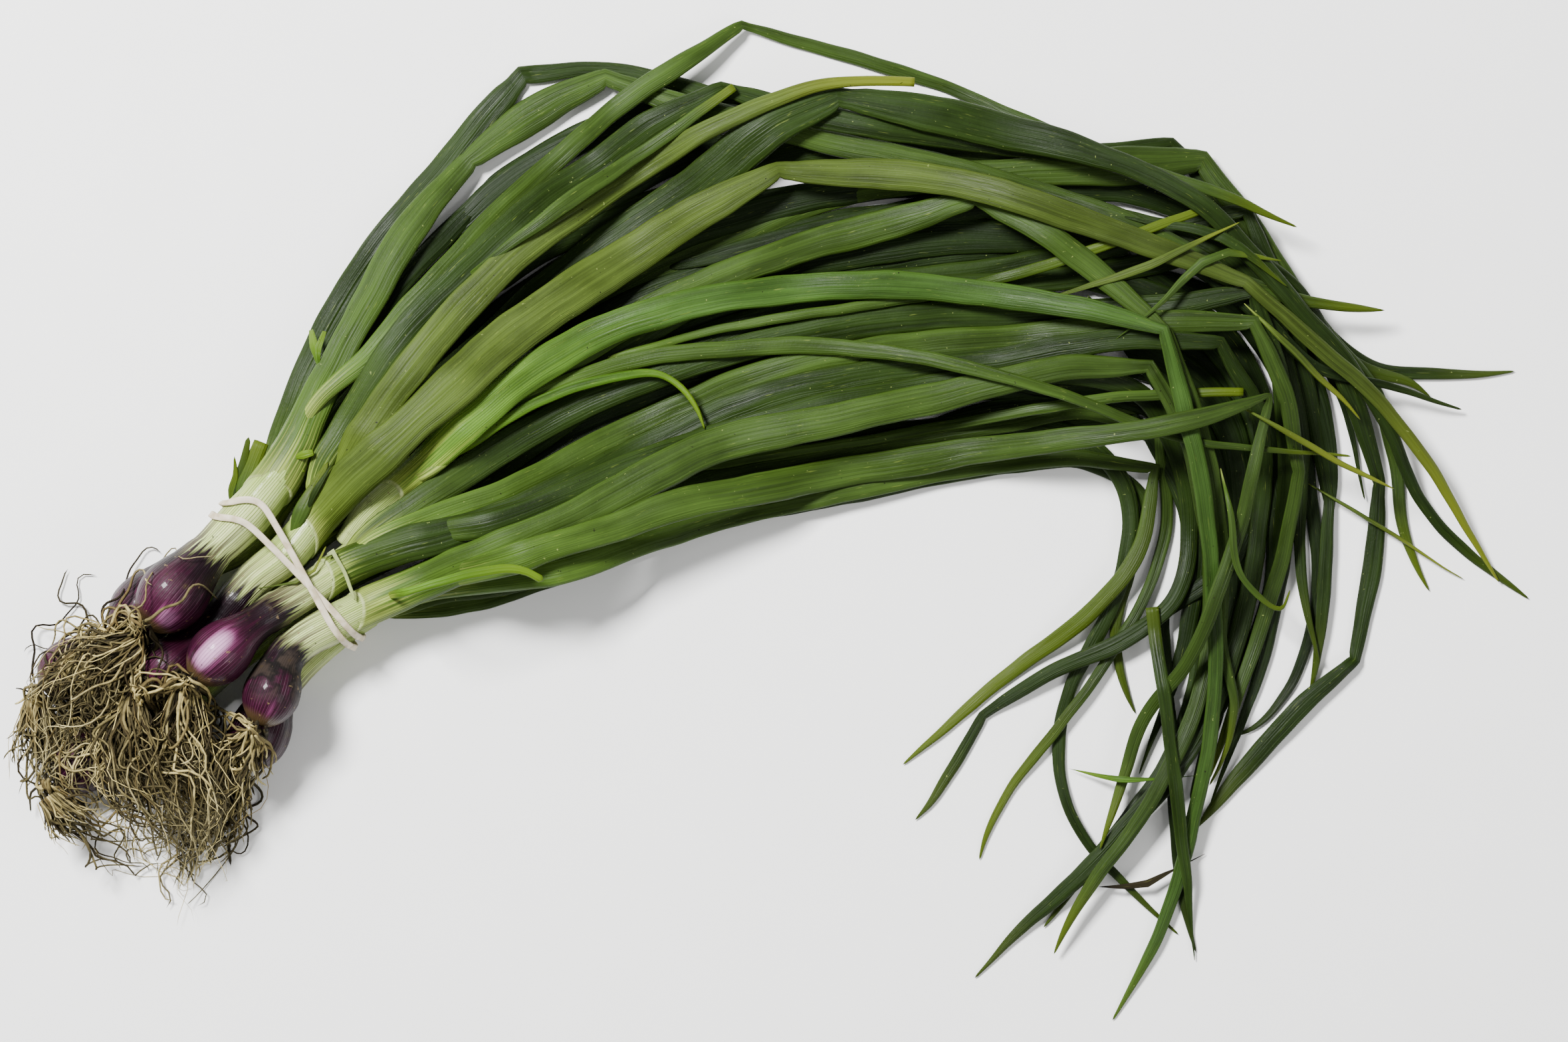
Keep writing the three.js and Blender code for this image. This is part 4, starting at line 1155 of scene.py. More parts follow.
@dataclass
class Leaf:
    """One leaf: a hollow tube pressed flat, furrowed along its length and crumpled at its folds.

    Attributes:
        name: Its name.
        look: How it differs from the others.
        origin: What it grows from, if that is a piece of its own.
        furrow: How deep its furrows are against half its height.
        furrow_widths: How wide its three furrows are against half its width.
        furrow_depths: How deep each one is against furrow.
        wave_mm: How far its course sways to the sides.
        spin: How far it turns about its course, in radians.
        ripple: The size of the ripples at a fold against half its height.
        slant_mm: How slanted the end of a sheath is.
        fibres_per_mm: How many fibres its shading has for each millimetre of half its width.
    """

    name: str
    look: LeafLook
    origin: Optional[Origin] = None
    furrow: float = 0.36
    furrow_widths: tuple[float, float, float] = (0.3, 0.16, 0.2)
    furrow_depths: tuple[float, float, float] = (1.0, 0.5, 0.4)
    wave_mm: float = 0.35
    spin: float = 0.1
    ripple: float = 0.16
    slant_mm: float = 5.0
    fibres_per_mm: float = 9.0

    def __post_init__(self) -> None:
        """Sets up the leaf's own random draws."""
        self.rng = seeded(self.name)

    def _joined(self, spine: Spine) -> Spine:
        """Leads the base down into the end of the shank, or wraps it round the shank.

        Args:
            spine: The course of the leaf.

        Returns:
            The course with the new base.
        """
        origin, wraps = self.origin, self.look.sheath
        fall = abs(spine.centre[0, 2] - origin.place[2])
        far = int(np.argmax(spine.reach > max(1.9 * fall, 12 * MM)))
        meet = spine.centre[far]
        ahead = unit(spine.centre[far + 1] - meet)
        start = origin.place - origin.course * (SHEATH_OVERLAP if wraps else LEAF_OVERLAP)
        length = float(np.linalg.norm(meet - start))
        side = unit(np.cross(origin.course, (0.0, 0.0, 1.0)))
        narrow, deep = spine.half_width[far] * 0.72, spine.half_height[far] * 1.5
        if wraps:
            narrow = deep = origin.radius * 1.045
        rows = []
        for t in (0.0, 0.12, 0.24, 0.4, 0.56, 0.72, 0.87):
            mid = eased(start, origin.course * length, meet, ahead * length, t)
            blend = t * t * (3 - 2 * t)
            wide = narrow * (1 - blend) + spine.half_width[far] * 1.08 * blend
            tall = deep * (1 - blend) + spine.half_height[far] * 1.25 * blend
            turned = side * (1 - blend) + spine.side[far] * blend
            up = np.cross(turned, origin.course) * (1 - blend) + spine.up[far] * blend
            rows.append(np.concatenate([mid, turned, up, [wide, tall]]))
        kept = Spine.unpacked(spine.packed()[far:])
        return kept.led_by(Spine.unpacked(np.array(rows)))

    def _gap(self, spine: Spine) -> np.ndarray:
        """From the end of the shank to the base of the leaf."""
        return spine.centre[0] - self.origin.place if self.origin else np.full(3, 1.0)

    def _lead(self, spine: Spine) -> Spine:
        """Carries the base back among the sheaths.

        Args:
            spine: The course of the leaf.

        Returns:
            The stations to put before it, rounder and narrower.
        """
        first, ahead = spine.centre[0], unit(spine.centre[1] - spine.centre[0])
        gap = self._gap(spine)
        if np.linalg.norm(gap) < NEAR_SHANK and abs(gap[2]) < HIGH_BASE:
            pull, slim = self.origin.course, 0.72
            target = self.origin.place - pull * LEAF_OVERLAP + 0.25 * gap
            length = np.linalg.norm(first - target)
        else:
            length = 12 * MM
            target = first - ahead * length - np.array([0, 0, 4.5 * MM])
            target[2] = max(target[2], 1.2 * MM)
            pull, slim = ahead, 0.2
        rows = []
        width, height = spine.half_width[0], spine.half_height[0]
        for t in (0.0, 0.35, 0.7):
            mid = eased(target, pull * length, first, ahead * length, t)
            wide = width * (slim + (1 - slim) * t)
            tall = min(height + (1 - t) * 0.35 * (width - height), wide * 0.9)
            rows.append(np.concatenate([mid, spine.side[0], spine.up[0], [wide, tall]]))
        return Spine.unpacked(np.array(rows))

    def _folds(self, spine: Spine) -> list[tuple[float, float]]:
        """Finds where the leaf folds over.

        Args:
            spine: The fine course of the leaf.

        Returns:
            The place of each fold along the leaf, and how sharp it is from 0 to 1.
        """
        s, ahead = spine.reach, spine.directions()
        found = []
        for i in range(2, len(s) - 2):
            turn = math.acos(float(np.clip(ahead[i - 2] @ ahead[i + 2], -1, 1)))
            if turn > FOLD_ANGLE and (not found or s[i] - found[-1][0] > FOLD_SPACING):
                near = range(i, min(i + 4, len(s) - 1))
                sharpest = min(near, key=lambda k: ahead[k - 1] @ ahead[k + 1])
                found.append((float(s[sharpest]), min(1.0, turn)))
        return found

    def _crumpled(
        self, spine: Spine, x: np.ndarray, across: np.ndarray, above: np.ndarray
    ) -> tuple[np.ndarray, np.ndarray]:
        """Pinches, ripples and presses the leaf at its folds.

        Args:
            spine: The fine course of the leaf.
            x: How far across the leaf each point lies, from -1 to 1.
            across: The offsets to the side.
            above: The offsets upwards.

        Returns:
            The new offsets, across and above.
        """
        rng, s, top = self.rng, spine.reach, self._top(x)
        for place, sharp in self._folds(spine):
            near = np.exp(-(((s - place) / FOLD_REACH) ** 2))[:, None] * sharp
            line = np.exp(-(((s - place) / CREASE_REACH) ** 2))[:, None] * sharp
            ripple = np.sin((s[:, None] - place) / (0.7 * MM) + 2.4 * x + rng.uniform(0, 6))
            ripple = near * ripple * self.ripple * spine.half_height[:, None]
            above = above + ripple * (0.4 + np.abs(x))
            leg = rng.choice((-1.0, 1.0))
            pinch = np.exp(-np.abs((s - place - leg * 3 * MM) / FOLD_REACH) ** 3)[:, None] * sharp
            across = across * (1 - 0.22 * pinch)
            above = above * (1 - 0.45 * near * (1 - np.abs(x)) * top)
            above = above + line * 0.5 * spine.half_height[:, None] * top
        return across, above

    @staticmethod
    def _top(x: np.ndarray) -> np.ndarray:
        """1 on the columns of the upper side, and 0 elsewhere."""
        return np.where(np.sin(once_round(LEAF_COLUMNS)) > 0, 1.0, 0.0) * np.ones_like(x)

    def points(self, spine: Spine) -> tuple[np.ndarray, np.ndarray]:
        """The skin of the leaf.

        Args:
            spine: Its fine course.

        Returns:
            The points, and how near the leaf's edge each one is, from 0 to 1.
        """
        rng, s = self.rng, spine.reach
        length = s[-1]
        turn = once_round(LEAF_COLUMNS)
        x = np.sign(np.cos(turn)) * np.abs(np.cos(turn)) ** 0.88
        y = np.sin(turn)
        x, y = np.broadcast_to(x, (len(s), x.size)), np.broadcast_to(y, (len(s), y.size))
        grown = smooth_step(s, 0.0, 60 * MM)[:, None]
        free = smooth_step(s, 0, 30 * MM) * (1 - smooth_step(s, length - 25 * MM, length))
        free = free[:, None]
        tall = 1 + drift(rng, s, 70 * MM, 0.16)[:, None] * free
        line = drift(rng, s, 150 * MM, 0.34)[:, None]
        deep = (0.55 + drift(rng, s, 90 * MM, 0.45)[:, None]) * self.furrow * grown * free
        top = self._top(x)
        second = drift(rng, s, 110 * MM, 0.3)[:, None] + 0.55
        press = np.zeros_like(x)
        furrows = zip((line, second, -second), self.furrow_widths, self.furrow_depths)
        for place, width, share in furrows:
            press = press + share * deep * np.exp(-(((x - place) / width) ** 2)) * top
        above = (y * tall - press) * spine.half_height[:, None]
        wide = (1 + drift(rng, s, 45 * MM, 0.045) * free[:, 0])[:, None]
        across = x * spine.half_width[:, None] * wide * self.look.broader
        across, above = self._crumpled(spine, x, across, above)
        spin = drift(rng, s, 120 * MM, self.spin) * free[:, 0]
        moved = Spine(**vars(spine))
        sway = drift(rng, s, 60 * MM, self.wave_mm * MM)[:, None] * free
        moved.centre = spine.centre + spine.side * sway
        return swept(moved, across, above, spin), np.abs(x) ** 7 * np.ones_like(above)

    def build(
        self,
        materials: dict[Tone, bpy.types.Material],
        coarse: Spine,
        node: Optional[str] = None,
    ) -> bpy.types.Object:
        """Makes the leaf.

        Args:
            materials: The material of each tone.
            coarse: Its course.
            node: The CAD node that it stands for, if any.

        Returns:
            The leaf.
        """
        wraps = self.look.sheath and self.origin is not None
        gap = self._gap(coarse)
        high = np.linalg.norm(gap[:2]) < NEAR_SHANK and abs(gap[2]) >= HIGH_BASE
        led = self._joined(coarse) if wraps or high else coarse.led_by(self._lead(coarse))
        led, corners = led.creased()
        spine = led.finer(LEAF_STEP, corners)
        points, edge = self.points(spine)
        if wraps:
            slant = np.cos(once_round(LEAF_COLUMNS) - self.rng.uniform(0.6, 2.5))
            slant = slant * self.slant_mm * MM
            fade = np.exp(-spine.reach / (9 * MM))
            points = points + (fade[:, None] * slant[None])[..., None] * spine.directions()[:, None]
        points = shrunk_end(points[::-1], (0.93, 0.0), (0.05 * MM, -1 * MM))[::-1]
        if self.look.cut:
            points = shrunk_end(points, (0.8, 0.72, 0.0), (0.05 * MM, -3 * MM, -3.2 * MM))
        else:
            points = shrunk_end(points, (0.55, 0.0), (0.7 * MM, 1.4 * MM))
        extra = 3 if self.look.cut else 2
        s, edge = padded(spine.reach / MM, 2, extra), padded(edge, 2, extra)
        points[..., 2] = np.maximum(points[..., 2], FLOOR_GAP)
        surface = Surface(self.name, points)
        surface.paint(
            along=s[:, None],
            to_tip=(s[-1] - s)[:, None],
            edge=edge,
            rim=float(wraps),
            seed=self.rng.uniform(),
            green_by=self.look.green_by,
            tip_length=self.look.tip,
            count=float(np.clip(spine.half_width.max() / MM * self.fibres_per_mm, 16, 60)),
        )
        return surface.build("leaf", materials[self.look.tone], *([node] if node else []))


@dataclass(frozen=True)
class Course:
    """A leaf with no CAD node of its own, which lies among the others.

    Attributes:
        points: Where it runs, in millimetres from the middle of the bunch.
        half_width: Half its width, in millimetres.
        tone: Its colours.
        green_by: How far from its base it is fully green, in millimetres.
        taper: How much of its width it loses towards its tip.
        cut: Whether it ends in an open cut instead of a point.
    """

    points: tuple[tuple[float, float, float], ...]
    half_width: float
    tone: Tone = Tone.INKY
    green_by: float = 2.0
    taper: float = 0.93
    cut: bool = False

    def spine(self) -> Spine:
        """The course as stations.

        Returns:
            A spine that tapers to its tip.
        """
        centre = np.array(self.points) * MM
        ahead = unit(np.gradient(centre, axis=0))
        side = unit(np.cross(ahead, (0.0, 0.0, 1.0)))
        up = np.cross(side, ahead)
        share = np.linspace(0, 1, len(centre))
        width = self.half_width * MM * (1 - self.taper * smooth_step(share, 0.45, 1.0))
        width = width * (0.3 + 0.7 * smooth_step(share, 0, 0.3))
        return Spine(centre, side, up, width, np.minimum(width * 0.4, 1.9 * MM))


class Ground:
    """The top of the finished pieces, on which loose ones are laid."""

    def __init__(self, pieces: Sequence[bpy.types.Object]) -> None:
        """Gathers the faces.

        Args:
            pieces: The pieces on which others are laid.
        """
        corners: list[Vector] = []
        faces: list[list[int]] = []
        for piece in pieces:
            first = len(corners)
            corners.extend(vert.co.copy() for vert in piece.data.vertices)
            faces.extend([first + k for k in face.vertices] for face in piece.data.polygons)
        self.tree = BVHTree.FromPolygons(corners, faces)

    def height(self, x: float, y: float) -> float:
        """The height of whatever lies at a place."""
        hit = self.tree.ray_cast(Vector((x, y, 1.0)), Vector((0.0, 0.0, -1.0)))[0]
        return hit.z if hit else 0.0

    def laid(self, spine: Spine) -> Spine:
        """Lays a course on the pieces.

        Args:
            spine: The course, with its heights counted from what lies beneath it.

        Returns:
            The course in the row frame, with close stations.
        """
        fine = spine.finer(4 * MM)
        x, y = fine.centre[:, 0], fine.centre[:, 1]
        reach = ((0, 0), (1.5, 0), (-1.5, 0), (0, 1.5), (0, -1.5))
        under = [[self.height(a + i * MM, b + j * MM) for i, j in reach] for a, b in zip(x, y)]
        top = np.array(under).max(1)
        size = min(2, (len(top) - 1) // 2)
        windows = [slice(k, k + 2 * size + 1) for k in range(len(top))]
        highest = padded(np.array([padded(top, size, size)[w].max() for w in windows]), size, size)
        smooth = np.array([highest[w].mean() for w in windows])
        fine.centre[:, 2] += np.maximum(smooth, top)
        return fine


HIDDEN_LEAVES: tuple[Course, ...] = (
    Course(
        ((-150, 14, 4), (-110, 50, 3), (-60, 84, 3), (0, 106, 3), (60, 111, 3), (120, 97, 3)),
        6.6,
    ),
    Course(((-152, 24, 4), (-105, 76, 3), (-60, 108, 3), (-10, 128, 3), (40, 131, 3)), 6.2),
    Course(((-153, 34, 4), (-116, 88, 3), (-78, 120, 3), (-35, 138, 3), (20, 140, 3)), 5.4),
    Course(((-142, 0, 4), (-90, 38, 3), (-40, 62, 3), (20, 72, 3), (80, 72, 3), (132, 55, 3)), 6.8),
    Course(
        ((-142, -8, 4), (-90, 23, 3), (-40, 46, 3), (20, 56, 3), (80, 58, 3), (137, 44, 3)),
        6.6,
    ),
    Course(
        ((-135, -15, 4), (-85, 8, 3), (-30, 30, 3), (30, 40, 3), (90, 42, 3), (132, 28, 3)),
        6.0,
    ),
    Course(((-60, 60, 4), (0, 85, 4), (60, 95, 4), (110, 90, 4), (152, 65, 4)), 6.6),
    Course(
        (
            (-30, 86, 4), (20, 98, 4), (60, 105, 4), (120, 111, 4), (150, 95, 4), (170, 60, 3),
            (178, 18, 2),
        ),
        5.6,
    ),
    Course(
        ((60, 80, 4), (110, 80, 4), (150, 60, 4), (166, 20, 3), (166, -20, 3), (155, -62, 2)),
        5.4,
    ),
    Course(
        ((60, 60, 4), (120, 60, 4), (150, 35, 4), (156, 0, 3), (150, -42, 3), (139, -92, 2)),
        5.4,
    ),
    Course(((80, 45, 4), (130, 36, 4), (149, 6, 3), (147, -38, 3), (134, -82, 2)), 4.8),
    Course(((100, 92, 4), (150, 90, 4), (173, 60, 3), (186, 20, 3), (181, -26, 2)), 4.6),
    Course(
        ((40, 125, 4), (100, 119, 4), (140, 106, 4), (166, 76, 3), (189, 42, 2), (197, 8, 2)),
        4.4,
    ),
    Course(((-142, 8, 4), (-92, 46, 3), (-42, 75, 3), (0, 90, 3), (55, 98, 3)), 5.6),
    Course(((112, 66, 3), (138, 34, 3), (151, -5, 3), (151, -50, 2), (137, -104, 2)), 5.4),
    Course(((130, 74, 3), (156, 46, 3), (168, 4, 3), (163, -46, 2), (146, -94, 2)), 5.0),
    Course(((122, 32, 3), (139, 2, 3), (137, -40, 3), (122, -84, 2)), 4.0),
    Course(((-120, 42, 3), (-100, 62, 3), (-80, 80, 3), (-55, 98, 3)), 5.0),
    Course(((-120, -4, 3), (-90, 14, 3), (-60, 31, 3), (-25, 44, 3)), 5.0),
    Course(((-20, 84, 3), (10, 96, 3), (40, 103, 3), (80, 104, 3)), 5.0),
    Course(((40, 28, 3), (75, 36, 3), (105, 38, 3), (125, 36, 3)), 4.6),
    Course(
        ((-178, 2, 14.5), (-177, 10, 15), (-174.2, 18, 15.5), (-171, 26, 16)),
        3.0, Tone.MID, 24, 0.15, cut=True,
    ),
    Course(
        ((-180, 3, 14.5), (-179, 12, 15), (-176.8, 20, 16), (-175.4, 26.4, 17)),
        1.7, Tone.DARK, 8, 0.5,
    ),
    Course(
        ((-181, 4, 14.5), (-181, 10, 15), (-179.6, 15, 16), (-179.8, 20, 17)),
        1.3, Tone.MID, 8, 0.7,
    ),
)
LOOSE_PIECES: tuple[Course, ...] = (
    Course(
        ((-98, 84, -2), (-72, 103, 1.6), (-45, 122, 1.5), (-14, 144, 1.3)),
        2.7, Tone.MID, 20, 0.45, cut=True,
    ),
    Course(
        ((-155, 3, -0.4), (-152.6, 8.4, 0.4), (-149.8, 13, 0.5), (-147.2, 17.4, 0.6)),
        1.1, Tone.INKY, 2, 0.7,
    ),
    Course(
        ((-152, 52, -1), (-153.6, 58, 1.4), (-155.2, 63.6, 2)),
        1.5, Tone.BRIGHT, 6, 0.5, cut=True,
    ),
    Course(
        ((-151.6, 52, -1), (-151.6, 58, 1.4), (-150.4, 63, 2)),
        1.3, Tone.BRIGHT, 6, 0.5, cut=True,
    ),
    Course(
        ((-159, 20.6, -1), (-156, 21.6, 0.6), (-152.6, 22.4, 1.4)),
        1.6, Tone.BRIGHT, 3, 0.3, cut=True,
    ),
    Course(
        ((-160, -5, -2), (-157, 2, -0.4), (-153, 10, -0.2), (-148.6, 18, 0.2)),
        2.6, Tone.MID, 16, 0.7,
    ),
    Course(
        ((-166, -21.6, 0), (-160, -20.4, 0.8), (-153, -17, 1), (-149, -9.6, 1)),
        0.75, Tone.OLIVE, 6, 0.6,
    ),
    Course(
        ((-150, -13, -1), (-147, -10.6, 1), (-144, -14, 1.2), (-139.4, -25, 1)),
        0.8, Tone.PALE, 90, 0.3,
    ),
    Course(((129, -86, -2), (114, -86.4, 1), (99, -83.4, 1)), 1.1, Tone.BRIGHT, 2),
    Course(
        ((133, -117, -1), (124, -121, 1), (117, -122.4, 1), (109, -122.6, 1)),
        1.3, Tone.DRY, 2, 0.85,
    ),
    Course(
        ((139, -136, -1), (136, -110, 1), (131, -75, 1), (127.6, -48, 1), (125.4, -29, 1)),
        2.2, Tone.DARK, 2, 0.0, cut=True,
    ),
    Course(((92, 74, -2), (122, 84, 1), (152, 98, 1)), 1.5, Tone.OLIVE, 2, 0.85),
    Course(((120, 66, -2), (150, 88, 1), (166, 86, 1)), 1.6, Tone.MID, 2, 0.85),
    Course(((118, 100, -2), (150, 92, 1), (168, 78, 1)), 2.0, Tone.DARK, 2, 0.85),
)


# ---------------------------------------------------------------- onions


# Edges of the tangle of roots: a place in millimetres and the direction out of the tangle.
ROOT_EDGES = ((-249, -70, -0.76, -0.65), (-173, -62, 0.969, -0.247), (-245, -50, -1.0, 0.0))


@dataclass(frozen=True)
class OnionLook:
    """How one onion's skin differs.

    Attributes:
        skin_mm: Where its purple skin ends, measured from the root plate.
        flush: Strength of its pale patch of skin, which is also a painted highlight on its upper
            side.
        flush_at: The patch's place along and across, in millimetres.
        flush_size: The patch's half length and half width, in millimetres.
        dry: Strength of the black papery skin round its neck.
    """

    skin_mm: float = 31.0
    flush: float = 0.25
    flush_at: tuple[float, float] = (8.0, 0.0)
    flush_size: tuple[float, float] = (7.0, 4.0)
    dry: float = 0.0


ONION_LOOKS: dict[str, OnionLook] = {
    "a": OnionLook(31.0, 0.62, (6.5, -4.0), (5.0, 5.0), 0.15),
    "b": OnionLook(45.0, 0.2),
    "c": OnionLook(37.0, 0.95, (10.0, 2.0), (8.5, 4.4)),
    "d": OnionLook(29.0, 0.45, (6.0, -3.0), (4.0, 3.0), 1.0),
    "e": OnionLook(30.0, 0.2),
    "f": OnionLook(30.0, 0.2, dry=0.5),
    "g": OnionLook(30.0, 0.2, dry=0.4),
    "h": OnionLook(32.0, 0.3, dry=0.3),
}


@dataclass
class Onion:
    """One bulb with its shank of rolled sheaths.

    Attributes:
        letter: The onion's letter.
        look: How its skin differs from the others.
        columns: How many faces lie round it.
        step_mm: The largest gap between its rings.
        lobes: Crests round the shank, with their size against its radius.
        ridges: Finer crests all along, with their size.
        lip_mm: How far the edge of the skin stands out.
    """

    letter: str
    look: OnionLook
    columns: int = 44
    step_mm: float = 1.3
    lobes: tuple[tuple[int, float], ...] = ((2, 0.035), (3, 0.022))
    ridges: tuple[tuple[int, float], ...] = ((9, 0.009), (13, 0.006))
    lip_mm: float = 0.35

    def __post_init__(self) -> None:
        """Reads the course of the CAD node, from the root plate to the end of the shank."""
        self.node = f"onion_{self.letter}_bulb_and_shank"
        self.rng = seeded(self.node)
        rows = Cage(self.node, BULB_SIDES).spine(TIE).packed()
        self.coarse = Spine.unpacked(rows[::-1].copy())
        course = self.coarse.directions()
        self.coarse.side = unit(np.cross(course, (0.0, 0.0, 1.0)))
        self.coarse.up = np.cross(self.coarse.side, course)

    @property
    def end(self) -> np.ndarray:
        """The middle of the shank's far end."""
        return self.coarse.centre[-1]

    @property
    def course(self) -> np.ndarray:
        """The shank's direction at its far end."""
        return unit(self.coarse.centre[-1] - self.coarse.centre[-2])

    @property
    def end_radius(self) -> float:
        """The shank's radius at its far end."""
        return float(self.coarse.half_width[-1])

    def _radius(self, spine: Spine, turn: np.ndarray) -> np.ndarray:
        """How far the skin and the shank lie from their course.

        Args:
            spine: The fine course.
            turn: The angle of each column.

        Returns:
            The radius at every point, with its lobes and ridges and the raised edge of the skin.
        """
        rng, s = self.rng, spine.reach / MM
        on_shank = smooth_step(s, self.look.skin_mm - 4, self.look.skin_mm + 14)[:, None]
        radius = spine.half_width[:, None] * np.ones((1, turn.size))
        lobes, ridges = waves(rng, turn, *self.lobes), waves(rng, turn, *self.ridges)
        radius = radius * (1 + on_shank * lobes[None] + 0.6 * on_shank * ridges[None])
        radius = radius * (1 + (1 - on_shank) * 0.5 * ridges[None])
        skin_edge = self.look.skin_mm + 2.2 * np.sin(turn + rng.uniform(0, 6))[None]
        lip = self.lip_mm * MM * (1 - smooth_step(s[:, None] - skin_edge, -0.6, 0.6))
        lip = lip * smooth_step(s, self.look.skin_mm - 14, self.look.skin_mm - 2)[:, None]
        radius = radius + lip
        rough = drift(rng, s, 16, 0.012)[:, None] + 0.01 * np.sin(
            5 * turn[None] + s[:, None] / 7 + rng.uniform(0, 6)
        )
        return radius * (1 + rough * (0.5 + 0.5 * on_shank))

    def build(self, material: bpy.types.Material) -> bpy.types.Object:
        """Makes the bulb and shank.

        Args:
            material: The skin and shank material.

        Returns:
            The piece.
        """
        spine = self.coarse.finer(self.step_mm * MM)
        s = spine.reach / MM
        turn = once_round(self.columns)
        x = np.cos(turn)[None] * np.ones((len(s), 1))
        y = np.sin(turn)[None] * np.ones((len(s), 1))
        radius = self._radius(spine, turn)
        points = swept(spine, x * radius, y * radius)
        points = shrunk_end(points[::-1], (0.75, 0.4, 0.0), (0.6 * MM, 0.5 * MM, 0.2 * MM))[::-1]
        points = shrunk_end(points, (0.93, 0.7, 0.35, 0.0), np.array(DOME_MM) * MM)
        points[..., 2] = np.maximum(points[..., 2], FLOOR_GAP)
        s = np.concatenate([[0.0] * 3, s, s[-1] + np.array(DOME_MM)])
        lateral = -padded(x, 3, 4) * padded(radius, 3, 4) / MM
        upward = padded(y, 3, 4)
        look = self.look
        # The pale patch of skin, which doubles as a painted highlight.
        flush = look.flush * np.exp(
            -(np.abs((s[:, None] - look.flush_at[0]) / look.flush_size[0]) ** 3)
            - np.abs((lateral - look.flush_at[1]) / look.flush_size[1]) ** 3
        )
        neck = np.exp(-(((s - look.skin_mm + 10) / 11) ** 4))[:, None]
        surface = Surface(self.node.replace("bulb_and_shank", "skin_and_shank"), points)
        surface.paint(
            along=s[:, None],
            past_skin=(s - look.skin_mm)[:, None],
            seed=self.rng.uniform(),
            # Only the upper side gets the patch, because it is also a painted highlight.
            flush=np.where(upward > 0, flush, 0.0),
            dry=look.dry * neck,
        )
        return surface.build("onion_skin", material, self.node)


def build_inner_stalk(material: bpy.types.Material) -> bpy.types.Object:
    """Makes the pale stalk that stands out of the cut sheath of onion b.

    Args:
        material: The skin and shank material.

    Returns:
        The stalk.
    """
    node = "onion_b_inner_stalk"
    rng, coarse = seeded(node), Cage(node, THIN_SIDES).spine(TIE)
    spine = coarse.finer(1.5 * MM)
    s = spine.reach / MM
    turn = once_round(32)
    wave = 1 + 0.03 * np.cos(3 * turn + 1)[None] + drift(rng, s, 18, 0.03)[:, None]
    points = swept(
        spine,
        np.cos(turn)[None] * spine.half_width[:, None] * wave,
        np.sin(turn)[None] * spine.half_height[:, None] * wave,
    )
    points = shrunk_end(points[::-1], (0.8, 0.0), (0.5 * MM, 0.8 * MM))[::-1]
    points = shrunk_end(points, (0.85, 0.5, 0.0), np.array((0.9, 1.8, 2.1)) * MM)
    s = np.concatenate([[0.0] * 2, s, s[-1] + np.array((0.9, 1.8, 2.1))])
    surface = Surface(node + "_sheath", points)
    surface.paint(along=s[:, None], past_skin=(s + 16)[:, None], seed=0.7, flush=0.0, dry=0.0)
    return surface.build("pale_stalk", material, node)


# ---------------------------------------------------------------- roots


def trimmed(rng: np.random.Generator, path: np.ndarray, slack_mm: float) -> np.ndarray:
    """The paths of fibres, each ended where it strays too far over an edge of the tangle.

    Args:
        rng: The source of how far each fibre may stray.
        path: Points of every fibre, as (fibres, stations, 3).
        slack_mm: How far past the edge a fibre goes on average, in millimetres.

    Returns:
        Paths with as many stations.
    """
    count, stations = path.shape[:2]
    slack = rng.exponential(slack_mm * MM, (count, 1))
    over = np.zeros((count, stations), bool)
    for x, y, out_x, out_y in ROOT_EDGES:
        past = (path[..., :2] - np.array((x, y)) * MM) @ np.array((out_x, out_y))
        over |= past > slack
    last = np.where(over.any(1), np.maximum(over.argmax(1), 7), stations - 1)
    share = np.linspace(0, 1, stations)[None] * last[:, None]
    low = np.minimum(share.astype(int), stations - 2)
    part, row = (share - low)[..., None], np.arange(count)[:, None]
    return path[row, low] * (1 - part) + path[row, low + 1] * part


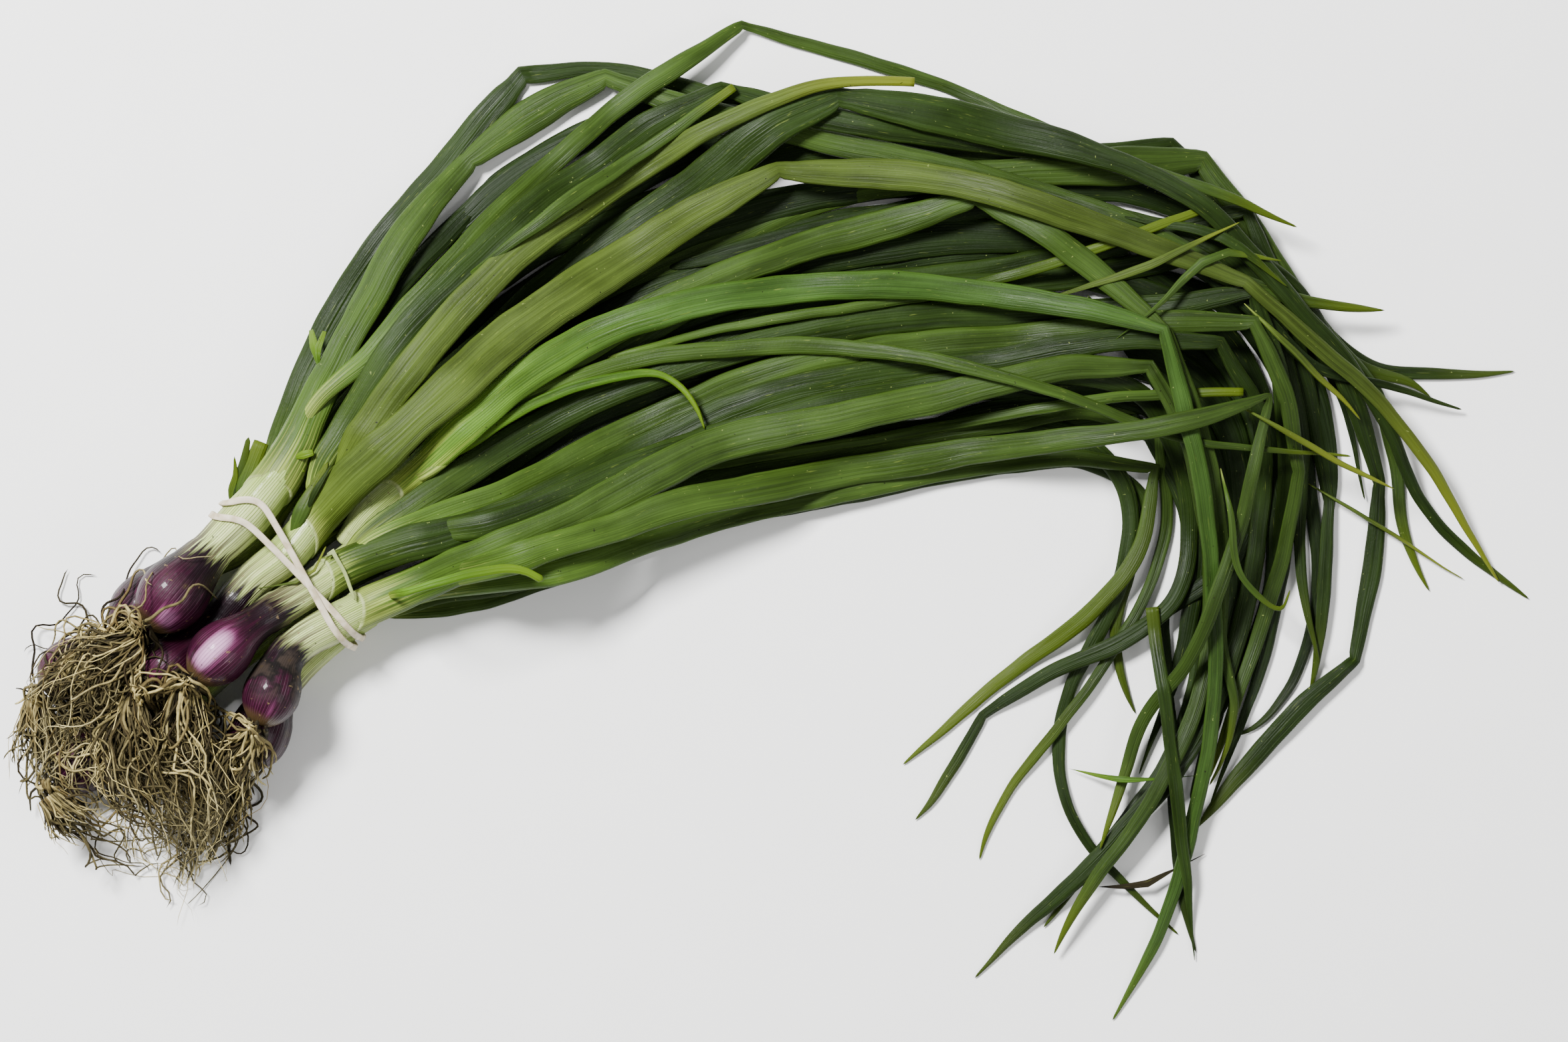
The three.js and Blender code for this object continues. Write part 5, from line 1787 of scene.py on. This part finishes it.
@dataclass
class RootTuft:
    """The roots of one onion: tapered fibres that leave the plate and hang over each other.

    Attributes:
        letter: The onion's letter.
        fibres: How many fibres keep to the CAD tuft.
        strays: How many thin ones stand out of it.
        stations: How many points each one has.
        lengths: The shortest and the longest fibre against the CAD tuft.
        stray_lengths: The same for the strays.
        radii_mm: The thinnest and the thickest fibre where it starts.
        stray_radii_mm: The same for the strays.
        waves_mm: The length and the size of the waves along a fibre.
        slack_mm: How far a fibre goes past the edge of the tangle on average.
    """

    letter: str
    fibres: int = 66
    strays: int = 9
    stations: int = 22
    lengths: tuple[float, float] = (0.35, 1.08)
    stray_lengths: tuple[float, float] = (0.9, 1.3)
    radii_mm: tuple[float, float] = (0.34, 0.66)
    stray_radii_mm: tuple[float, float] = (0.14, 0.26)
    waves_mm: tuple[tuple[float, float], ...] = ((34, 3.4), (15, 1.5))
    slack_mm: float = 5.0

    def __post_init__(self) -> None:
        """Sets up the tuft's own random draws."""
        self.node = f"onion_{self.letter}_roots"
        self.rng = seeded(self.node)

    def _courses(self, spine: Spine) -> tuple[np.ndarray, np.ndarray, np.ndarray, np.ndarray]:
        """Lays out the fibres.

        Args:
            spine: The course of the CAD tuft.

        Returns:
            The path, radius, tone and outerness of the fibres, as braid takes them.
        """
        rng = self.rng
        count = self.fibres + self.strays
        stray = np.arange(count) >= self.fibres
        t = np.linspace(0, 1, self.stations)[None] * np.ones((count, 1))
        far, near = rng.uniform(*self.stray_lengths, count), rng.uniform(*self.lengths, count)
        length = np.where(stray, far, near)
        rows = spine.at(t * length[:, None])
        spread = np.sqrt(rng.uniform(0.12, 1.0, count))
        spread = np.where(stray, rng.uniform(1.0, 1.5, count), spread)
        angle = rng.uniform(0, 2 * math.pi, count)
        angle = angle[:, None] + rng.normal(0, 0.9, count)[:, None] * t
        fan = spread[:, None] * (1 + 0.5 * t)
        centre, side, up = rows[..., :3], rows[..., 3:6], rows[..., 6:9]
        wide, tall = rows[..., 9:10], rows[..., 10:11]
        path = centre + side * wide * (np.cos(angle) * fan)[..., None]
        path = path + up * tall * (np.sin(angle) * fan)[..., None]
        reach = spine.reach[-1] * length
        for wave, size in self.waves_mm:
            for axis in range(3):
                phase = rng.uniform(0, 2 * math.pi, count)[:, None]
                turns = reach[:, None] * t / (wave * MM) * rng.uniform(0.7, 1.3, count)[:, None]
                lift = 0.6 if axis == 2 else 1.0
                path[..., axis] += (
                    lift * size * MM * np.sin(2 * math.pi * turns + phase) * smooth_step(t, 0, 0.5)
                )
        path = trimmed(rng, path, self.slack_mm)
        thin, thick = rng.uniform(*self.stray_radii_mm, count), rng.uniform(*self.radii_mm, count)
        radius = np.where(stray, thin, thick)[:, None] * MM * (1 - 0.62 * t)
        path[..., 2] = np.maximum(path[..., 2], radius + 0.15 * MM)
        # Fibres on the underside of the tuft get a low outer value, which the material turns into
        # painted shade.
        high = spread[:, None] * np.sin(angle) * 0.5 + spread[:, None] * 0.5
        outer = smooth_step(high, 0.45, 1.05)
        outer = np.where(stray[:, None], 1.0, outer + 0.15 * t)
        return path, radius, rng.uniform(0, 1, count), np.clip(outer, 0, 1)

    def build(self, material: bpy.types.Material) -> bpy.types.Object:
        """Makes the tuft."""
        courses = self._courses(Cage(self.node, THIN_SIDES).spine(TIE))
        return braid(self.node + "_fibres", *courses).build("roots", material, self.node)


@dataclass
class RootMat:
    """Loose root fibres that fan out from every root plate and hang over the bulbs below.

    Attributes:
        letters: The onions that the fibres grow from, with some of them more than once.
        fibres: How many fibres there are.
        stations: How many points each one has.
        gather: The place that the fibres bend towards, in metres.
        kept_mm: How far from the low x side of the box the fibres are turned back, at either end.
        lengths_mm: The shortest and the longest fibre.
        lifts_mm: How high the lowest and the highest one lie over the bulbs.
        radii_mm: The thinnest and the thickest one where it starts.
        waves_mm: The length of the waves along a fibre, and how far each one turns it in radians.
        slack_mm: How far a fibre goes past the edge of the tangle on average.
    """

    letters: str
    fibres: int = 540
    stations: int = 24
    gather: tuple[float, float] = (-0.199, -0.128)
    kept_mm: tuple[float, float] = (13, 73)
    lengths_mm: tuple[float, float] = (24, 78)
    lifts_mm: tuple[float, float] = (0.3, 8.5)
    radii_mm: tuple[float, float] = (0.34, 0.74)
    waves_mm: tuple[tuple[float, float], ...] = ((29, 0.75), (13, 0.42))
    slack_mm: float = 4.0

    def _ground(self, xy: np.ndarray, balls: np.ndarray) -> np.ndarray:
        """How high the bulbs are under some places.

        Args:
            xy: The places, with x and y last.
            balls: The place and radius of every station of the bulbs and shanks.

        Returns:
            The heights, 0 where there is no bulb.
        """
        flat = xy.reshape(-1, 2)
        gap = np.linalg.norm(flat[:, None] - balls[None, :, :2], axis=2)
        rise = balls[None, :, 2] + np.sqrt(np.maximum(balls[None, :, 3] ** 2 - gap**2, 0))
        rise = np.where(gap < balls[None, :, 3], rise, 0.0)
        return rise.max(1).reshape(xy.shape[:-1])

    def _walk(
        self,
        rng: np.random.Generator,
        balls: np.ndarray,
        start: np.ndarray,
        heading: np.ndarray,
        length: np.ndarray,
        lift: np.ndarray,
    ) -> np.ndarray:
        """Leads the fibres over the bulbs, step by step.

        Args:
            rng: The source of their waves.
            balls: The place and radius of every station of the bulbs and shanks.
            start: Where each fibre starts.
            heading: The angle at which it sets out.
            length: Its length.
            lift: How high it lies over the bulbs.

        Returns:
            The points of every fibre, as (fibres, stations, 3).
        """
        path = np.zeros((self.fibres, self.stations, 3))
        here, step = start[:, :2].copy(), length / (self.stations - 1)
        sway = rng.uniform(0, 2 * math.pi, (2, self.fibres))
        lag = rng.normal(0, 0.7, self.fibres)
        for k in range(self.stations):
            t = k / (self.stations - 1)
            path[:, k, :2] = here
            settled = self._ground(here, balls) + lift * (1 - 0.6 * t)
            drop = start[:, 2] * (1 - t) ** 2
            path[:, k, 2] = np.maximum(settled, drop)
            aim = np.arctan2(self.gather[1] - here[:, 1], self.gather[0] - here[:, 0]) + lag
            turn = (aim - heading + math.pi) % (2 * math.pi) - math.pi
            left = (here[:, 0] < BOX_LOW[0] + self.kept_mm[0] * MM) & (np.cos(heading) < 0)
            right = (here[:, 0] > BOX_LOW[0] + self.kept_mm[1] * MM) & (np.cos(heading) > 0)
            heading = heading + np.where(left | right, 0.36, 0.075) * turn
            way = heading
            for (wave, swing), phase in zip(self.waves_mm, sway):
                way = way + swing * np.sin(length * t / (wave * MM) * 6.28 + phase)
            here = here + np.c_[np.cos(way), np.sin(way)] * step[:, None]
        for _ in range(3):
            z = path[..., 2]
            z[:, 1:-1] = 0.5 * z[:, 1:-1] + 0.25 * (z[:, :-2] + z[:, 2:])
        return path

    def build(self, material: bpy.types.Material, onions: dict[str, Onion]) -> bpy.types.Object:
        """Makes the mat.

        Args:
            material: The root fibre material.
            onions: All the onions, by letter.

        Returns:
            The mat.
        """
        rng = seeded("root_mat")
        spines = {k: onion.coarse for k, onion in onions.items()}
        balls = np.concatenate([np.c_[o.centre, o.half_width] for o in spines.values()])
        letters = rng.choice(list(self.letters), self.fibres)
        start = np.array([spines[k].centre[0] for k in letters])
        course = np.array([-unit(spines[k].centre[1] - spines[k].centre[0]) for k in letters])
        start = start + course * 1.5 * MM + rng.normal(0, 1.6 * MM, start.shape)
        length = rng.uniform(*self.lengths_mm, self.fibres) * MM
        lift = rng.uniform(*self.lifts_mm, self.fibres) * MM
        length = length * (0.6 + 0.4 * smooth_step(lift, 1 * MM, 6 * MM))
        upper = np.isin(letters, list("ae"))
        leaning, straight = rng.uniform(-1.9, 0.3, self.fibres), rng.normal(0, 0.6, self.fibres)
        turned = np.where(upper, leaning, straight)
        turned = turned * (0.35 + 0.65 * smooth_step(lift, 1 * MM, 4 * MM))
        heading = np.arctan2(course[:, 1], course[:, 0]) + turned
        path = self._walk(rng, balls, start, heading, length, lift)
        path = trimmed(rng, path, self.slack_mm)
        t = np.linspace(0, 1, self.stations)[None]
        buried = 1 + 0.9 * (1 - smooth_step(lift, 0.0, 4 * MM))[:, None]
        radius = rng.uniform(*self.radii_mm, self.fibres)[:, None] * MM * (1 - 0.6 * t) * buried
        # Fibres that lie low over the bulbs get a low outer value, which the material turns into
        # painted shade.
        outer = smooth_step(lift, 3.8 * MM, 8.2 * MM)[:, None]
        tone = rng.uniform(0, 1, self.fibres)
        return braid("root_mat_fibres", path, radius, tone, outer).build("roots", material)


def braid(
    name: str, path: np.ndarray, radius: np.ndarray, tone: np.ndarray, outer: np.ndarray
) -> Surface:
    """Many thin closed tubes in one piece.

    Args:
        name: The piece's name.
        path: Points of every tube, as (tubes, stations, 3).
        radius: The radius at every point, as (tubes, stations); both ends become poles.
        tone: How dark each tube is, from 0 to 1.
        outer: How far out each point lies in the tangle, 0 to 1, as radius or one column; lower is
            painted shade.

    Returns:
        The painted surface, to be built.
    """
    count, stations = radius.shape
    path = np.clip(path, BOX_LOW - ROOT_ROOM, BOX_HIGH + ROOT_ROOM)
    path[..., 2] = np.maximum(path[..., 2], radius + FLOOR_GAP)
    ahead = unit(np.gradient(path, axis=1))
    side = unit(np.cross(ahead, (0.31, 0.22, 0.92)))
    up = np.cross(side, ahead)
    shut = radius.copy()
    shut[:, 0] = shut[:, -1] = 0.0
    turn = np.linspace(0, 2 * math.pi, ROOT_SIDES + 1)
    ring = np.cos(turn)[:, None] * side[..., None, :] + np.sin(turn)[:, None] * up[..., None, :]
    points = path[..., None, :] + shut[..., None, None] * ring
    surface = Surface(name, points.reshape(count * stations, ROOT_SIDES + 1, 3))
    surface.paint(
        seed=np.repeat(tone, stations)[:, None],
        along=np.tile(np.linspace(0, 1, stations), count)[:, None],
        outer=np.broadcast_to(outer, radius.shape).reshape(-1, 1),
    )
    return surface.cut_after([stations * k - 1 for k in range(1, count)])


# ---------------------------------------------------------------- band


@dataclass
class Band:
    """The elastic band, wound twice round the shanks.

    Attributes:
        node: Its CAD node.
        half_width_mm: Half the width of the strip.
        half_thickness_mm: Half its thickness.
        longest_ring_edge_mm: Longer edges of the CAD band lead from one ring to the next.
        columns: How many faces lie round the strip.
    """

    node: str = "elastic_band"
    half_width_mm: float = 1.15
    half_thickness_mm: float = 0.52
    longest_ring_edge_mm: float = 1.45
    columns: int = 16

    def _grouped(self, mesh: bmesh.types.BMesh) -> tuple[list[list[int]], list[int]]:
        """Gathers the vertices into rings, along the short edges.

        Args:
            mesh: The CAD band.

        Returns:
            The vertices of each ring, and the ring of each vertex.
        """
        group = [-1] * len(mesh.verts)
        rings: list[list[int]] = []
        for vert in mesh.verts:
            if group[vert.index] >= 0:
                continue
            waiting, members = [vert], []
            group[vert.index] = len(rings)
            while waiting:
                here = waiting.pop()
                members.append(here.index)
                for edge in here.link_edges:
                    other = edge.other_vert(here)
                    short = edge.calc_length() < self.longest_ring_edge_mm * MM
                    if short and group[other.index] < 0:
                        group[other.index] = len(rings)
                        waiting.append(other)
            rings.append(members)
        return rings, group

    @staticmethod
    def _order(mesh: bmesh.types.BMesh, group: Sequence[int]) -> list[int]:
        """Puts the rings in order round the band.

        Args:
            mesh: The CAD band.
            group: The ring of each vertex.

        Returns:
            The rings, each one beside the one before it.
        """
        beside: list[dict[int, int]] = [{} for _ in range(max(group) + 1)]
        for edge in mesh.edges:
            a, b = (group[v.index] for v in edge.verts)
            if a != b:
                beside[a][b] = beside[a].get(b, 0) + 1
                beside[b][a] = beside[b].get(a, 0) + 1
        order, here, before = [0], 0, -1
        while True:
            ahead = sorted(beside[here], key=lambda k: -beside[here][k])[:2]
            onward = [k for k in ahead if k != before]
            if not onward or onward[0] == 0 or len(order) > len(beside):
                return order
            before, here = here, onward[0]
            order.append(here)

    def _rings(self) -> tuple[np.ndarray, np.ndarray]:
        """Reads the rings of the CAD band.

        Returns:
            The middle of each ring and the direction of its width, in order round the band.
        """
        mesh = welded(self.node)
        mesh.verts.ensure_lookup_table()
        rings, group = self._grouped(mesh)
        order = self._order(mesh, group)
        spokes = [np.array([tuple(mesh.verts[i].co) for i in rings[k]]) for k in order]
        mesh.free()
        centre = np.array([ring.mean(0) for ring in spokes])
        wide = []
        for ring, middle in zip(spokes, centre):
            out = ring - middle
            along = out[np.linalg.norm(out, axis=1).argmax()]
            wide.append(along if along @ AXIS >= 0 else -along)
        LOG.info("band: %d rings of %s", len(order), sorted({len(rings[k]) for k in order}))
        return centre, unit(np.array(wide))

    def build(self, material: bpy.types.Material) -> bpy.types.Object:
        """Makes the band.

        Args:
            material: The rubber.

        Returns:
            The band.
        """
        centre, side = self._rings()
        loop = np.concatenate([centre, centre[:1]])
        around = np.concatenate([side, side[:1]])
        base = Spine(loop, around, around, np.full(len(loop), 1.0), np.full(len(loop), 1.0))
        for _ in range(2):
            core = loop[:-1]
            smoothed = 0.5 * core + 0.25 * (np.roll(core, 1, 0) + np.roll(core, -1, 0))
            loop = np.concatenate([smoothed, smoothed[:1]])
        base.centre = loop
        fine = base.finer(0.9 * MM)
        ahead = unit(np.roll(fine.centre[:-1], -1, 0) - np.roll(fine.centre[:-1], 1, 0))
        ahead = np.concatenate([ahead, ahead[:1]])
        wide = unit(fine.side - (fine.side * ahead).sum(1, keepdims=True) * ahead)
        spine = Spine(fine.centre, wide, np.cross(ahead, wide), fine.half_width, fine.half_height)
        turn = np.linspace(0, 2 * math.pi, self.columns + 1)
        x = np.sign(np.cos(turn)) * np.abs(np.cos(turn)) ** 0.55 * self.half_width_mm * MM
        y = np.sign(np.sin(turn)) * np.abs(np.sin(turn)) ** 0.6 * self.half_thickness_mm * MM
        size = np.ones((len(fine.centre), 1))
        points = swept(spine, x[None] * size, y[None] * size)
        points[-1] = points[0]
        points[..., 2] = np.maximum(points[..., 2], FLOOR_GAP)
        s = fine.reach / MM
        surface = Surface("elastic_band_strip", points).paint(along=s[:, None])
        return surface.build("elastic", material, self.node)


# ---------------------------------------------------------------- stage


def build_floor() -> None:
    """A wide pale floor under the bunch."""
    sheet = bmesh.new()
    bmesh.ops.create_grid(sheet, x_segments=2, y_segments=2, size=3.0)
    mesh = bpy.data.meshes.new("floor")
    sheet.to_mesh(mesh)
    sheet.free()
    mesh.materials.append(floor_material())
    floor = bpy.data.objects.new("floor", mesh)
    bpy.context.scene.collection.objects.link(floor)
    floor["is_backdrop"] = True


VIEW_MIDDLE = (0.0026, -0.0002, 0.022)
VIEW_WIDTH = 0.519


def build_camera() -> None:
    """A long lens that looks straight down on the middle of the bunch."""
    data = bpy.data.cameras.new("top_camera")
    data.lens, data.sensor_width, data.sensor_fit = 110.0, 36.0, "HORIZONTAL"
    data.clip_end = 20.0
    camera = bpy.data.objects.new("top_camera", data)
    x, y, z = VIEW_MIDDLE
    camera.location = (x, y, VIEW_WIDTH * data.lens / data.sensor_width + z)
    bpy.context.scene.collection.objects.link(camera)
    bpy.context.scene.camera = camera


def add_area(name: str, place: Sequence[float], size: float, power: float) -> None:
    """Adds a square soft light that faces the bunch.

    Args:
        name: Its name.
        place: Where it stands, in metres.
        size: The length of its side, in metres.
        power: Its power, in watts.
    """
    data = bpy.data.lights.new(name, "AREA")
    data.shape, data.size, data.energy = "SQUARE", size, power
    lamp = bpy.data.objects.new(name, data)
    lamp.location = place
    lamp.rotation_euler = (-Vector(place)).to_track_quat("-Z", "Y").to_euler()
    bpy.context.scene.collection.objects.link(lamp)


def build_lights() -> None:
    """A soft key from the upper left, a weak fill and an even pale sky."""
    add_area("key", (-0.75, 0.75, 1.5), 0.42, 106.0)
    add_area("fill", (1.2, -0.6, 1.5), 1.0, 14.0)
    world = bpy.data.worlds.new("sky")
    world.use_nodes = True
    background = world.node_tree.nodes["Background"]
    background.inputs["Color"].default_value = (1.0, 1.0, 1.0, 1.0)
    background.inputs["Strength"].default_value = 0.41
    bpy.context.scene.world = world


# ---------------------------------------------------------------- the bunch


def build_bunch() -> None:
    """Makes every piece of the bunch."""
    skin = skin_material()
    onions = {k: Onion(k, look) for k, look in ONION_LOOKS.items()}
    made = [onion.build(skin) for onion in onions.values()] + [build_inner_stalk(skin)]
    stalk = Cage("onion_b_inner_stalk", THIN_SIDES).spine(TIE)
    inner = Origin(stalk.centre[-1], unit(stalk.centre[-1] - stalk.centre[-2]), 4.4 * MM)
    leaves = {tone: tone.value.material(f"leaf_{tone.name.lower()}") for tone in Tone}
    for name, look in LEAF_LOOKS.items():
        node, onion = f"onion_{name}", onions[name[0]]
        origin = inner if "inner" in node else Origin(onion.end, onion.course, onion.end_radius)
        coarse = Cage(node, LEAF_SIDES).spine(TIE)
        made.append(Leaf(node + "_skin", look, origin).build(leaves, coarse, node))
    for kind, courses in (("hidden", HIDDEN_LEAVES), ("loose", LOOSE_PIECES)):
        ground = Ground(made)
        for number, course in enumerate(courses, 1):
            look = LeafLook(course.tone, course.green_by, 20.0, course.cut, broader=1.0)
            spine = ground.laid(course.spine()) if kind == "loose" else course.spine()
            leaf = Leaf(f"{kind}_leaf_{number}", look)
            made.append(leaf.build(leaves, spine))
    fibre = root_material()
    for letter in ONION_LOOKS:
        RootTuft(letter).build(fibre)
    RootMat("aabbcchhhdfge").build(fibre, onions)
    Band().build(band_material())


def main() -> None:
    """Builds the bunch, the floor, the lights and the camera, and measures both sizes."""
    build_camera()
    build_bunch()
    build_floor()
    build_lights()
    boxes = [[list(map(float, corner)) for corner in box] for box in (CAD_BOX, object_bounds())]


if __name__ == "__main__":
    main()
